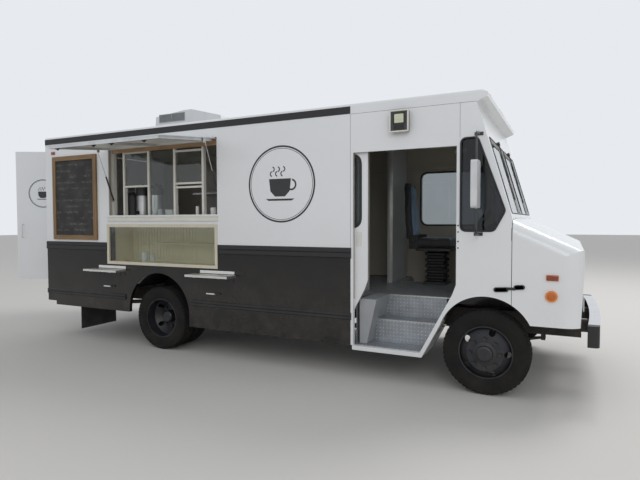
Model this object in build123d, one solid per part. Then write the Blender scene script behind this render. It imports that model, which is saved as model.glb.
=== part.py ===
from build123d import *
import math
import os

# Coffee truck built on a walk-in step van with a tilting hood.
# X runs forward from the front axle, Y to the left and Z up from the ground, in millimetres.
# The serving side is the right side, at negative Y. The hatch, the right cab door and the
# right rear door stand open, as the truck is parked for serving.

RIGHT = -1
LEFT = 1
BOTH_SIDES = (RIGHT, LEFT)

# Width of the body, which many sizes follow
BODY_WIDTH = 2400
HALF = BODY_WIDTH / 2
WALL = 45
IN = HALF - WALL

# Chassis
WHEELBASE = 4040
REAR_AXLE_X = -WHEELBASE
RAIL_Y = 392
RAIL_FLANGE = 75
RAIL_HEIGHT = 220
RAIL_WEB = 8
RAIL_TOP_Z = 700
RAIL_LOW_Z = RAIL_TOP_Z - RAIL_HEIGHT
RAIL_OUT = RAIL_Y + RAIL_FLANGE / 2
RAIL_IN = RAIL_Y - RAIL_FLANGE / 2
RAIL_REAR_X = -6120
RAIL_NOSE_X = 820
RAIL_TAPER_X = 600
RAIL_TAPER = 50
CROSS_MEMBERS_X = (-5900, -5000, -3200, -2100, -1000)
CROSS_MEMBER_DEPTH = 75
SPRING_WIDTH = 64
SPRING_DEPTH = 36
SPRING_EYE_R = 24
FRONT_SPRING_HALF = 470
REAR_SPRING_HALF = 600
REAR_SPRING_Y = 500
HORN_Z = (540, 660)
TAIL_BAR_HALF = 1050

# Engine, exhaust and tank
ENGINE_X = (-390, 560)
ENGINE_HALF = 290
ENGINE_Z = (520, 1240)
ENGINE_MOUNTS_X = (-250, 420)
GEARBOX_LENGTH = 510
GEARBOX_Z = 540
GEARBOX_R = 140
PINION_LENGTH = 260
SHAFT_R = 40
SILENCER_X = (-3200, -2300)
SILENCER_Y = -600
SILENCER_Z = 425
SILENCER_R = 100
PIPE_R = 28
TANK_X = (-2900, -1900)
TANK_OUT = HALF - 200
TANK_Z = (400, 690)
RADIATOR_X = (640, 700)
RADIATOR_HALF = 320
RADIATOR_Z = (620, 1250)

# Wheels: one size of tyre on all six rims
TYRE_R = 405.5
TYRE_WIDTH = 225
RIM_R = 247.6
RIM_HALF_WIDTH = 92
RIM_WALL = 8
RIM_LIP = 14
TRACK_HALF = HALF - 142
DUAL_SPACING = 256
DUAL_FACE_Y = TRACK_HALF - DUAL_SPACING / 2
DISC_WALL = 12
HUB_PILOT_R = 109
HAND_HOLE_R = 30
HAND_HOLE_COUNT = 5
HAND_CIRCLE_R = 203
LUG_CIRCLE_R = 137.5
LUG_COUNT = 8
LUG_R = 19
LUG_HEIGHT = 24
AXLE_Z = TYRE_R
AXLE_END_R = 45
KINGPIN_Y = TRACK_HALF - 123
KINGPIN_R = 17
SPINDLE_R = 35
ARM_LENGTH = 150
TIE_ROD_R = 16
RUNNING_FIT = 0.05
SEAT_GAP = 0.3
MOVING_GAP = 5

# Body shell
REAR_X = -6180
ROOF_EDGE_Z = 2875
ROOF_CROWN = 26
ROOF_WALL = 60
ROOF_RAIL = 110
WALL_TOP_Z = ROOF_EDGE_Z - ROOF_RAIL
CEILING_Z = ROOF_EDGE_Z - ROOF_WALL
ROOF_EDGE_R = 30
FLOOR_Z = 830
FLOOR_WALL = 50
FLOOR_LOW_Z = FLOOR_Z - FLOOR_WALL
FLOOR_SILLS_X = (-6050, -5500, -4900, -4040, -3200, -2600, -2000, -1400)
FLOOR_SILL_WIDTH = 60
SKIRT_TAIL_X = -6005
SKIRT_TAIL_Z = 510
SKIRT_REAR_Z = 455
SKIRT_FRONT_Z = 347
REAR_ARCH_R = 508
REAR_ARCH_Z = 485
FRONT_ARCH_R = 441
FRONT_ARCH_Z = 505
ARCH_KNEE = (-350, 774)
ARCH_FOOT = (-600, 300)
LINER_WALL = 12
LINER_IN = HALF - 510
WHEEL_BOX_IN = HALF - 545
BAND_FRONT_X = -1360
BAND_WALL = 4

# Cab front, with the windscreen lying along the pillar line
SEAM_X = 230
COWL_Z = 1690
PILLAR_TOP = (-77, 2727)
SCREEN_WALL = 40
GLASS_WALL = 6
SCREEN_PANE = (20, HALF - 115, 35, 790)
SCREEN_CORNER_R = 60
BROW_KNEE_X = -95
BROW_TIP = (12, 2840)
BROW_LIP = (6, 34)
BROW_R = 150

# Steps, and the cover over the engine in the cab
STEP_IN = HALF - 550
STEP_SHEET = 6
STEP_TREAD_IN = HALF - 300
STEP_MID_Z = 590
DOGHOUSE_X = -420
DOGHOUSE_HALF = 345
DOGHOUSE_TOP_Z = 1290
DOGHOUSE_CORNER_R = 70

# Cab doorway and its sliding door
DOOR_REAR_X = -1330
DOOR_FRONT_X = -268
DOOR_TOP_Z = 2365
DOOR_BOTTOM_Z = 345
DOOR_KNEE = (-304, 942)
DOOR_FOOT_X = -619
DOOR_UPRIGHT_Z = 1040
SILL_Z = 300
DOOR_WALL = 38
DOOR_LAP = 12
DOOR_TRAVEL = 929
DOOR_WINDOW = (-1225, -385, 1440, 2255)
DOOR_WINDOW_R = 95
DOOR_PLANE_OUT = IN - MOVING_GAP
DOOR_PLANE_IN = DOOR_PLANE_OUT - DOOR_WALL
DOOR_PLANE_MIDDLE = (DOOR_PLANE_IN + DOOR_PLANE_OUT) / 2
TRACK_X = (-2290, -240)
TRACK_GAP = 3
TRACK_LEDGE = 10
TRACK_Z = (DOOR_TOP_Z + DOOR_LAP + TRACK_GAP, DOOR_TOP_Z + DOOR_LAP + TRACK_GAP + 45)
PULL_Z = (1330, 1560)
PULL_OUT = 38
PULL_R = 8

# Quarter windows beside the windscreen
QUARTER_OUTLINE = ((-229, 1558), (75, 1558), (172, 1745), (-75, 2432), (-229, 2432))
QUARTER_CORNER_R = 55

# Serving opening, hatch and struts
SERVE_REAR_X = -4900
SERVE_FRONT_X = -3085
SERVE_BOTTOM_Z = 1740
SERVE_TOP_Z = 2660
HATCH_WALL = 38
HATCH_SKIN = 10
HATCH_OPEN_DEG = 84
HATCH_RABBET = 40
HATCH_RIM = 6
HATCH_BAR = 50
HATCH_PIN = (-HALF - 10, SERVE_TOP_Z)
HATCH_PIN_R = 4
HATCH_KNUCKLE_R = 8
HATCH_KNUCKLE_COUNT = 5
HATCH_KNUCKLE_INSET = 120
STRUT_FOOT = (-HALF + 62, 1950)
STRUT_HEAD = (65, -182)
STRUT_BARREL_R = 10
STRUT_ROD_R = 4
STRUT_PIN_R = 4
STRUT_EYE_R = 9
STRUT_EYE_HALF = 7
STRUT_PLATE_GAP = 0.5
STRUT_BARREL_LENGTH = 330
STRUT_INSET = 22

# Serving window behind the hatch
SERVE_FRAME_Y = (-HALF + 88, -HALF + 136)
SERVE_BAR = 32
SERVE_LAP = 24
SERVE_CHEEK = 12
SERVE_SILL = 20
SERVE_HEAD = 15
MULLIONS_X = (-4709, -4267, -3825, -3370)
SASH_BAR_Z = 2137
SASH_BAR = 24
SASH_STEP = 48
SASH_TOPS_Z = (2575, 2545)

# Display case under the hatch, and the menu board behind it
CASE_REAR_X = -4940
CASE_FRONT_X = SERVE_FRONT_X
CASE_BOTTOM_Z = 1085
CASE_TOP_Z = 1620
CASE_DEPTH = 400
CASE_FRAME = 38
CASE_FACE = 8
CASE_WALL = 12
CASE_SHELF_DEPTH = 180
CASE_SHELF_REAR_X = -4340
BOARD_X = (-6005, -5116)
BOARD_Z = (1405, 2583)
BOARD_FRAME = 62
BOARD_OUT = 26
BOARD_PANEL = 12

# Fold shelves: rear end and front end of each
SHELVES = {"rear": (-5172, -4560), "front": (-3418, -2800)}
SHELF_Z = 1022
SHELF_DEPTH = 189
SHELF_LIP = 26
SHELF_SHEET = 5
SHELF_PIN_OUT = 20
SHELF_PIN_DROP = 13
SHELF_PIN_R = 4
SHELF_KNUCKLE_R = 8
SHELF_HINGE_INSET = 110

# Rear doorway
REAR_DOOR_HALF = HALF - 400
REAR_DOOR_BOTTOM_Z = 770
REAR_DOOR_TOP_Z = 2730
REAR_DOOR_WALL = 38
REAR_DOOR_MEET = 3.5
REAR_DOOR_OPEN_DEG = 120
REAR_HINGE_OUT = 16
REAR_HINGE_R = 8
REAR_HINGE_Z = (960, 1740, 2520)
REAR_HANDLE_Y = 90
REAR_HANDLE_Z = (1420, 1620)
REAR_HANDLE_OUT = 45

# Hood
HOOD_REAR_X = SEAM_X + MOVING_GAP
HOOD_NOSE_X = 830
HOOD_BOTTOM_Z = 705
HOOD_SIDE_Z = 1572
HOOD_SLOPE = 0.467
HOOD_WALL = 10
HOOD_SHOULDER = 120
HOOD_CORNER_R = 170
HOOD_NOSE_R = 110
HOOD_PIVOT = (760, 772)
HOOD_PIVOT_R = 10
HOOD_EAR_Y = (470, 500)
HOOD_EAR_R = 22
HOOD_BRACKET_X = (-150, -75)
GRILLE_HALF = 430
GRILLE_Z = (860, 1225)
GRILLE_FRAME = 30
GRILLE_BAR = 18
GRILLE_BAR_COUNT = 6
LAMP_Y = (HALF - 560, HALF - 300)
LAMP_Z = (800, 960)
LAMP_RIM = 15
TURN_LAMP_WIDTH = 60
SIDE_LAMP = (565, 983)
SIDE_LAMP_R = 50
SIDE_MARKER = (522, 622, 1122, 1172)

# Bumper, roof unit, mirrors and lamps
BUMPER_END_Y = HALF - 120
BUMPER_END_X = 951
BUMPER_CENTRE_X = 990
BUMPER_Z = (530, 722)
BUMPER_WALL = 8
BUMPER_DEPTH = 95
BUMPER_CORNER_R = 45
PLATE_HOLE_SPACING = 177.8
PLATE_HOLE_R = 3.5
ROOF_UNIT_X = (-4880, -3610)
ROOF_UNIT_HALF = 350
ROOF_UNIT_TOP_Z = 3262
ROOF_UNIT_GASKET = 25
MIRROR_OUT = 200
MIRROR_Y = HALF + MIRROR_OUT
MIRROR_X = -55
MIRROR_HALF = 95
MIRROR_Z = (1768, 2196)
MIRROR_BRACKETS_Z = (1530, 2462)
MIRROR_TUBE_R = 9.5
WIPER_R = 6
BROW_LAMPS_Y = (300 - HALF, -150, 0, 150, HALF - 300)
BROW_LAMP_SIZE = (90, 36, 22)
BROW_LAMP_CORNER_R = 10
TAIL_MARKERS_Y = (160 - HALF, -150, 0, 150, HALF - 160)
TAIL_LAMPS_Z = (1000, 1120, 1240)
TAIL_LAMP_Y = HALF - 200
TAIL_LAMP_R = 52
WORK_LAMP_X = (-905, -725)
WORK_LAMP_Z = (2535, 2736)

# Rub rails on each side: rear end, front end, lower edge, upper edge. Then the mud flaps
RUB_RAILS = {
    RIGHT: ((REAR_X, -4950, 1262, 1375), (-3068, -1352, 1262, 1375), (REAR_X, -4610, 612, 689),
            (-3503, -1352, 612, 689)),
    LEFT: ((REAR_X, -1352, 1262, 1375), (REAR_X, -4610, 612, 689), (-3503, -1352, 612, 689)),
}
RUB_RAIL_OUT = 14
FLAP_X = -5550
FLAP_WALL = 10
FLAP_Y = (HALF - 660, HALF - 50)
FLAP_LOW_Z = 130

# Inside: seat, dash, counters and urns
SEAT_X = -860
SEAT_Y = HALF - 640
SEAT_BASE_HEIGHT = 330
SEAT_HEIGHT = 470
SEAT_BACK_HEIGHT = 1370
DASH_Z = (1300, 1640)
STEERING_WHEEL_R = 220
BULKHEAD_X = (-1470, -1440)
BULKHEAD_DOOR = (-420, 330, 2560)
COUNTER_X = (-5100, -2950)
COUNTER_IN = -HALF + 720
COUNTER_WALL = 20
DECK_WALL = 30
LEFT_COUNTER_X = (-5600, -2500)
LEFT_COUNTER_IN = HALF - 640
LEFT_COUNTER_Z = 1640
KICK_HEIGHT = 80
LEFT_SHELF_X = (-5200, -3000)
LEFT_SHELF_Z = 2120
LEFT_SHELF_IN = HALF - 340
URNS_X = (-4620, -4380)
URN_Y = -HALF + 340
URN_R = 92
URN_HEIGHT = 410


def block(x0, x1, y0, y1, z0, z1):
    """Rectangular solid between two corners."""
    centre = ((x0 + x1) / 2, (y0 + y1) / 2, (z0 + z1) / 2)
    return Pos(*centre) * Box(abs(x1 - x0), abs(y1 - y0), abs(z1 - z0))


def across(sketch, y0, y1):
    """Extrude an outline drawn in X and Z from one Y to another."""
    far = max(y0, y1)
    return extrude(Plane.XZ.offset(-far) * sketch, amount=abs(y1 - y0), dir=(0, -1, 0))


def along(sketch, x0, x1):
    """Extrude an outline drawn in Y and Z from one X to another."""
    return extrude(Plane.YZ.offset(min(x0, x1)) * sketch, amount=abs(x1 - x0), dir=(1, 0, 0))


def upright(sketch, z0, z1):
    """Extrude an outline drawn in X and Y from one Z to another."""
    return extrude(Pos(0, 0, z0) * sketch, amount=z1 - z0, dir=(0, 0, 1))


def outline(*points):
    """Closed straight-sided face through the points."""
    return Polygon(*points, align=None)


def closed_face(*edges):
    """Face inside a closed run of lines and arcs."""
    return make_face(list(edges))


def rect(x0, x1, z0, z1):
    """Rectangular face between two corners."""
    return Pos((x0 + x1) / 2, (z0 + z1) / 2) * Rectangle(abs(x1 - x0), abs(z1 - z0))


def soft_rect(x0, x1, z0, z1, radius):
    """Rectangular face with round corners."""
    return Pos((x0 + x1) / 2, (z0 + z1) / 2) * RectangleRounded(abs(x1 - x0), abs(z1 - z0), radius)


def rounded(sketch, radius):
    """Round every corner of a face."""
    return fillet(sketch.vertices(), radius)


def round_at(sketch, point, radius):
    """Round the corner of a face that lies nearest to a point."""
    corner = min(sketch.vertices(), key=lambda v: math.hypot(v.X - point[0], v.Y - point[1]))
    return fillet(corner, radius)


def rod_x(x0, x1, y, z, radius):
    return Pos((x0 + x1) / 2, y, z) * Rot(0, 90, 0) * Cylinder(radius, abs(x1 - x0))


def rod_y(x, y0, y1, z, radius):
    return Pos(x, (y0 + y1) / 2, z) * Rot(90, 0, 0) * Cylinder(radius, abs(y1 - y0))


def rod_z(x, y, z0, z1, radius):
    return Pos(x, y, (z0 + z1) / 2) * Cylinder(radius, abs(z1 - z0))


def rod_between(start, end, radius):
    """Round bar from one point to another."""
    line = Vector(*end) - Vector(*start)
    plane = Plane(origin=start, z_dir=line)
    return extrude(plane * Circle(radius), amount=line.length)


def tube_along(points, radius, bend):
    """Bent tube through the points, with round bends."""
    path = FilletPolyline(*points, radius=bend)
    section = Plane(origin=points[0], z_dir=path % 0) * Circle(radius)
    return sweep(section, path=path)


def join(parts):
    """One compound, fused where its solids touch."""
    whole = parts[0]
    for piece in parts[1:]:
        whole = whole + piece
    return whole


def span(side, near, far):
    """Y values of a stretch on one side, given as distances from the centre line."""
    return side * near, side * far


# Outlines that several pieces share

def rear_arch(grow=0):
    """Wheel opening over the rear axle: half round, with upright legs."""
    round_part = Pos(REAR_AXLE_X, REAR_ARCH_Z) * Circle(REAR_ARCH_R + grow)
    width = REAR_ARCH_R + grow
    legs = rect(REAR_AXLE_X - width, REAR_AXLE_X + width, 0, REAR_ARCH_Z)
    return round_part + legs


def front_arch(grow=0):
    """Wheel opening over the front axle: round on top, with a straight slope behind."""
    round_part = Pos(0, FRONT_ARCH_Z) * Circle(FRONT_ARCH_R + grow)
    slope = (ARCH_FOOT[0] - ARCH_KNEE[0]) / (ARCH_FOOT[1] - ARCH_KNEE[1])
    ground_x = ARCH_FOOT[0] - slope * ARCH_FOOT[1]
    lean = math.atan(slope)
    back = grow / math.cos(lean)
    below = outline(
        (ARCH_KNEE[0] - back, ARCH_KNEE[1]),
        (ground_x - back, 0),
        (FRONT_ARCH_R + grow, 0),
        (FRONT_ARCH_R + grow, FRONT_ARCH_Z),
        (0, FRONT_ARCH_Z + FRONT_ARCH_R / 2),
    )
    return round_part + below


def doorway(grow=0):
    """Cab doorway, cut off along the wheel housing at its lower front corner."""
    face = outline(
        (DOOR_REAR_X, DOOR_BOTTOM_Z),
        (DOOR_FOOT_X, DOOR_BOTTOM_Z),
        DOOR_KNEE,
        (DOOR_FRONT_X, DOOR_UPRIGHT_Z),
        (DOOR_FRONT_X, DOOR_TOP_Z),
        (DOOR_REAR_X, DOOR_TOP_Z),
    )
    if grow:
        face = offset(face, amount=grow, kind=Kind.INTERSECTION)
    return face


def pillar_x(z):
    """X of the slanting front edge of the body side at a height."""
    run = (PILLAR_TOP[0] - SEAM_X) / (PILLAR_TOP[1] - COWL_Z)
    return SEAM_X + run * (z - COWL_Z)


def side_outline():
    """Whole body side, from the rear corner to the pillar."""
    face = outline(
        (REAR_X, SKIRT_TAIL_Z),
        (SKIRT_TAIL_X, SKIRT_TAIL_Z),
        (SKIRT_TAIL_X, SKIRT_REAR_Z),
        (REAR_AXLE_X, SKIRT_REAR_Z),
        (REAR_AXLE_X, SKIRT_FRONT_Z),
        (DOOR_REAR_X - DOOR_LAP, SKIRT_FRONT_Z),
        (DOOR_REAR_X - DOOR_LAP, SILL_Z),
        (SEAM_X, SILL_Z),
        (SEAM_X, COWL_Z),
        (pillar_x(WALL_TOP_Z), WALL_TOP_Z),
        (REAR_X, WALL_TOP_Z),
    )
    return face - rear_arch() - front_arch()


def quarter_outline(grow=0):
    face = outline(*QUARTER_OUTLINE)
    if grow:
        face = offset(face, amount=grow, kind=Kind.INTERSECTION)
    return rounded(face, QUARTER_CORNER_R)


def screen_plane():
    """Plane of the windscreen's outer face: x runs across the cab, y up the slope."""
    run = PILLAR_TOP[0] - SEAM_X
    rise = PILLAR_TOP[1] - COWL_Z
    return Plane(origin=(SEAM_X, 0, COWL_Z), x_dir=(0, 1, 0), z_dir=(rise, 0, -run))


# Body shell

def side_lengths(side):
    """Body side in two lengths that meet behind the doorway: the box's, and the cab's with its openings."""
    face = side_outline() - doorway() - quarter_outline()
    cab = face & rect(BAND_FRONT_X, 2 * SEAM_X, 0, ROOF_EDGE_Z)
    box = face & rect(REAR_X, BAND_FRONT_X, 0, ROOF_EDGE_Z)
    return [across(length, *span(side, IN, HALF)) for length in (box, cab)]


def serving_side_sheets(wall):
    """The box's length cut into the sheets that meet round the serving opening, the case and the wheels."""
    arch_rear_x = REAR_AXLE_X - REAR_ARCH_R
    arch_front_x = REAR_AXLE_X + REAR_ARCH_R
    cells = (
        (CASE_REAR_X, SERVE_FRONT_X, SERVE_TOP_Z, WALL_TOP_Z),
        (REAR_X, CASE_REAR_X, 0, WALL_TOP_Z),
        (CASE_REAR_X, SERVE_REAR_X, SERVE_BOTTOM_Z, SERVE_TOP_Z),
        (CASE_REAR_X, SERVE_FRONT_X, CASE_TOP_Z, SERVE_BOTTOM_Z),
        (CASE_REAR_X, arch_rear_x, 0, CASE_BOTTOM_Z),
        (arch_rear_x, REAR_AXLE_X, 0, CASE_BOTTOM_Z),
        (REAR_AXLE_X, arch_front_x, 0, CASE_BOTTOM_Z),
        (arch_front_x, SERVE_FRONT_X, 0, CASE_BOTTOM_Z),
        (SERVE_FRONT_X, BAND_FRONT_X, 0, WALL_TOP_Z),
    )
    return [wall & block(x0, x1, -2 * HALF, 0, z0, z1) for x0, x1, z0, z1 in cells]


def side_wall_right():
    """Serving side: the box's length also opens for the hatch and the display case."""
    box, cab = side_lengths(RIGHT)
    serving = rect(SERVE_REAR_X, SERVE_FRONT_X, SERVE_BOTTOM_Z, SERVE_TOP_Z)
    case = rect(CASE_REAR_X, CASE_FRONT_X, CASE_BOTTOM_Z, CASE_TOP_Z)
    box = box - across(serving + case, -HALF - 1, -IN + 1)
    header, *sheets = serving_side_sheets(join([box, shelf_hinges_fixed()]))
    header = join([header, hatch_hinge_fixed()])
    return Compound(children=[header] + sheets + [cab, strut_feet(), door_track(RIGHT)])


def side_wall_left():
    return Compound(children=side_lengths(LEFT) + [door_track(LEFT)])


def roof_shell():
    """Roof with its crown, rail edges, and the brow that hangs over the windscreen."""
    top_z = ROOF_EDGE_Z + ROOF_CROWN
    knee = (BROW_KNEE_X, top_z)
    profile = outline(
        (REAR_X, WALL_TOP_Z),
        (REAR_X, top_z),
        knee,
        BROW_TIP,
        (BROW_TIP[0] - BROW_LIP[0], BROW_TIP[1] - BROW_LIP[1]),
        (pillar_x(WALL_TOP_Z), WALL_TOP_Z),
    )
    profile = round_at(profile, knee, BROW_R)
    lengthways = across(profile, -HALF, HALF)
    crown = closed_face(
        Polyline((HALF, ROOF_EDGE_Z), (HALF, WALL_TOP_Z), (-HALF, WALL_TOP_Z), (-HALF, ROOF_EDGE_Z)),
        ThreePointArc((-HALF, ROOF_EDGE_Z), (0, top_z), (HALF, ROOF_EDGE_Z)),
    )
    crown = round_at(crown, (HALF, ROOF_EDGE_Z), ROOF_EDGE_R)
    crown = round_at(crown, (-HALF, ROOF_EDGE_Z), ROOF_EDGE_R)
    crosswise = along(crown, REAR_X, BROW_TIP[0])
    shell = lengthways & crosswise
    ceiling_z = ROOF_EDGE_Z - ROOF_WALL
    brow_x = pillar_x(WALL_TOP_Z) - SCREEN_WALL
    rear_x = REAR_X + WALL
    cells = [
        (REAR_X, brow_x, -HALF, HALF, ceiling_z, top_z),
        (brow_x, BROW_TIP[0], -HALF, HALF, WALL_TOP_Z, top_z),
        (REAR_X, rear_x, -HALF, HALF, WALL_TOP_Z, ceiling_z),
    ]
    cells += [(rear_x, brow_x, *span(side, IN, HALF), WALL_TOP_Z, ceiling_z) for side in BOTH_SIDES]
    return Compound(children=[shell & block(*cell) for cell in cells])


def rear_wall():
    """Rear frame around the double doors, with the fixed halves of their hinges."""
    frame = rect(-IN, IN, SKIRT_TAIL_Z, WALL_TOP_Z)
    opening = rect(-REAR_DOOR_HALF, REAR_DOOR_HALF, REAR_DOOR_BOTTOM_Z, REAR_DOOR_TOP_Z)
    wall = along(frame - opening, REAR_X, REAR_X + WALL)
    return join([wall] + [rear_hinge_fixed(side) for side in BOTH_SIDES])


def body_floor():
    """Floor on its cross sills, with the round wheel boxes over the twin wheels."""
    sheet = block(REAR_X + WALL, DOOR_REAR_X, -IN, IN, FLOOR_LOW_Z, FLOOR_Z)
    pocket_x = DOOR_REAR_X - DOOR_LAP - DOOR_TRAVEL - 2 * MOVING_GAP
    pocket_y = DOOR_PLANE_IN - MOVING_GAP
    for side in BOTH_SIDES:
        sheet = sheet - block(pocket_x, DOOR_REAR_X + 1, *span(side, pocket_y, HALF), 0, 2 * FLOOR_Z)
    cab = block(DOOR_REAR_X, SEAM_X - SCREEN_WALL, -STEP_IN, STEP_IN, FLOOR_LOW_Z, FLOOR_Z)
    wing = LINER_IN - LINER_WALL
    cab = cab + block(ARCH_KNEE[0], SEAM_X - SCREEN_WALL, -wing, wing, FLOOR_LOW_Z, FLOOR_Z)
    cab = cab - block(DOGHOUSE_X, SEAM_X, -DOGHOUSE_HALF, DOGHOUSE_HALF, 0, FLOOR_Z + 1)
    floor = sheet + cab
    for side in BOTH_SIDES:
        hollow = across(rear_arch(), *span(side, WHEEL_BOX_IN, IN))
        cover = across(rear_arch(LINER_WALL), *span(side, WHEEL_BOX_IN - LINER_WALL, IN))
        reach = WHEELBASE / 4
        above = block(REAR_AXLE_X - reach, REAR_AXLE_X + reach, *span(side, 0, IN), FLOOR_LOW_Z, COWL_Z)
        floor = floor + (cover & above) - hollow
    for x in FLOOR_SILLS_X:
        near_wheel = abs(x - REAR_AXLE_X) < REAR_ARCH_R
        reach = WHEEL_BOX_IN - LINER_WALL if near_wheel else pocket_y
        half = FLOOR_SILL_WIDTH / 2
        sill = rect(x - half, x + half, RAIL_TOP_Z, FLOOR_LOW_Z)
        sill = sill - rect(x - half + RAIL_WEB, x + half + 1, RAIL_TOP_Z + RAIL_WEB, FLOOR_LOW_Z)
        floor = floor + across(sill, -reach, reach)
    return floor


def housing_face(grow):
    """Wheel housing as seen from the side, up to the seam with the hood."""
    return front_arch(grow) & rect(-700, SEAM_X, SILL_Z, COWL_Z)


def cover_arch(inset, low):
    """Section of the engine cover, with its upper corners rounded."""
    half = DOGHOUSE_HALF - inset
    top = DOGHOUSE_TOP_Z - inset
    face = rect(-half, half, low, top)
    for y in (-half, half):
        face = round_at(face, (y, top), DOGHOUSE_CORNER_R - inset)
    return face


def cab_front():
    """Windscreen frame, fire wall, wheel housings and the cover over the engine."""
    plane = screen_plane()
    top_v = (WALL_TOP_Z - COWL_Z) / plane.y_dir.Z
    frame = Pos(0, top_v / 2) * Rectangle(2 * IN, top_v)
    near, far, low, high = SCREEN_PANE
    for side in BOTH_SIDES:
        frame = frame - soft_rect(*span(side, near, far), low, high, SCREEN_CORNER_R)
    screen = extrude(plane * frame, amount=-SCREEN_WALL)
    screen = screen - block(-SEAM_X, 2 * SEAM_X, -HALF, HALF, WALL_TOP_Z, ROOF_EDGE_Z)
    wall_x = (SEAM_X - SCREEN_WALL, SEAM_X)
    fire_wall = block(*wall_x, -IN, IN, FRONT_ARCH_Z + FRONT_ARCH_R + LINER_WALL, COWL_Z)
    fire_wall = fire_wall + block(*wall_x, -LINER_IN, LINER_IN, FLOOR_LOW_Z, COWL_Z)
    hollow = along(cover_arch(LINER_WALL, 0), DOGHOUSE_X + LINER_WALL, SEAM_X + 1)
    cover = along(cover_arch(0, FLOOR_LOW_Z), DOGHOUSE_X, wall_x[0])
    parts = [screen, fire_wall - hollow, cover - hollow]
    for side in BOTH_SIDES:
        liner = across(housing_face(LINER_WALL) - front_arch(), *span(side, LINER_IN, IN))
        inner = across(housing_face(LINER_WALL), *span(side, LINER_IN - LINER_WALL, LINER_IN))
        inner = inner & block(2 * ARCH_KNEE[0], SEAM_X, -HALF, HALF, FLOOR_LOW_Z, COWL_Z)
        parts += [liner, inner]
    return join(parts)


def fixed_glass():
    """Windscreen panes, quarter windows, serving window panes and the display case pane."""
    plane = screen_plane().offset(-(SCREEN_WALL - GLASS_WALL) / 2)
    near, far, low, high = SCREEN_PANE
    panes = []
    for side in BOTH_SIDES:
        pane = soft_rect(*span(side, near + SEAT_GAP, far - SEAT_GAP), low + SEAT_GAP, high - SEAT_GAP,
                         SCREEN_CORNER_R)
        panes.append(extrude(plane * pane, amount=-GLASS_WALL))
        middle = (IN + HALF) / 2
        panes.append(across(quarter_outline(-SEAT_GAP), *span(side, middle, middle + GLASS_WALL)))
    case = rect(CASE_REAR_X + CASE_FRAME, CASE_FRONT_X - CASE_FRAME, CASE_BOTTOM_Z + CASE_FRAME,
                CASE_TOP_Z - CASE_FRAME)
    panes.append(across(case, -HALF + CASE_WALL, -HALF + CASE_WALL + GLASS_WALL))
    middle = sum(SERVE_FRAME_Y) / 2
    for left, right, low, high in serving_panes():
        panes.append(across(rect(left, right, low, high), middle - GLASS_WALL / 2, middle + GLASS_WALL / 2))
    return Compound(children=panes)


# Cab steps

def cab_steps():
    """Two plated steps in each doorway, with the riser between them and the rear end wall."""
    stair = outline(
        (IN, DOOR_BOTTOM_Z),
        (STEP_TREAD_IN, DOOR_BOTTOM_Z),
        (STEP_TREAD_IN, STEP_MID_Z),
        (STEP_IN, STEP_MID_Z),
        (STEP_IN, FLOOR_Z - SEAT_GAP),
        (STEP_IN + STEP_SHEET, FLOOR_Z - SEAT_GAP),
        (STEP_IN + STEP_SHEET, STEP_MID_Z + STEP_SHEET),
        (STEP_TREAD_IN + STEP_SHEET, STEP_MID_Z + STEP_SHEET),
        (STEP_TREAD_IN + STEP_SHEET, DOOR_BOTTOM_Z + STEP_SHEET),
        (IN, DOOR_BOTTOM_Z + STEP_SHEET),
    )
    end = outline(
        (DOOR_PLANE_IN - MOVING_GAP, DOOR_BOTTOM_Z + STEP_SHEET),
        (STEP_TREAD_IN + STEP_SHEET, DOOR_BOTTOM_Z + STEP_SHEET),
        (STEP_TREAD_IN + STEP_SHEET, STEP_MID_Z + STEP_SHEET),
        (STEP_IN + STEP_SHEET, STEP_MID_Z + STEP_SHEET),
        (STEP_IN + STEP_SHEET, FLOOR_LOW_Z),
        (DOOR_PLANE_IN - MOVING_GAP, FLOOR_LOW_Z),
    )
    wells = []
    for side in BOTH_SIDES:
        flight = along(stair, DOOR_REAR_X, ARCH_KNEE[0])
        flight = flight + along(end, DOOR_REAR_X, DOOR_REAR_X + STEP_SHEET)
        flight = flight - across(front_arch(LINER_WALL + SEAT_GAP), 0, HALF)
        if side == RIGHT:
            flight = mirror(flight, about=Plane.XZ)
        wells.append(flight)
    return join(wells)


def door_slide(side):
    """How far back from closed each cab door stands."""
    return DOOR_TRAVEL if side == RIGHT else 0


def cab_door(side):
    """Sliding cab door with its window opening and the two hangers that run in the track."""
    face = doorway(DOOR_LAP)
    face = face & rect(2 * DOOR_REAR_X, 0, DOOR_BOTTOM_Z + STEP_SHEET + MOVING_GAP, ROOF_EDGE_Z)
    face = face - soft_rect(*DOOR_WINDOW, DOOR_WINDOW_R)
    parts = [across(face, *span(side, DOOR_PLANE_IN, DOOR_PLANE_OUT))]
    top = DOOR_TOP_Z + DOOR_LAP
    runner_z = TRACK_Z[0] + TRACK_LEDGE + SEAT_GAP
    for x in (DOOR_REAR_X + 150, DOOR_FRONT_X - 150):
        for half, low, high in ((4, top - 1, runner_z + 1), (11, runner_z, runner_z + 20)):
            y = span(side, DOOR_PLANE_MIDDLE - half, DOOR_PLANE_MIDDLE + half)
            parts.append(block(x - 30, x + 30, *y, low, high))
    pull_x = DOOR_FRONT_X - 60
    low, high = PULL_Z
    foot = side * (DOOR_PLANE_IN + 2)
    out = side * (DOOR_PLANE_IN - PULL_OUT)
    grip = [(pull_x, foot, low), (pull_x, out, low), (pull_x, out, high), (pull_x, foot, high)]
    parts.append(tube_along(grip, PULL_R, 20))
    return Pos(-door_slide(side), 0, 0) * join(parts)


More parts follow.
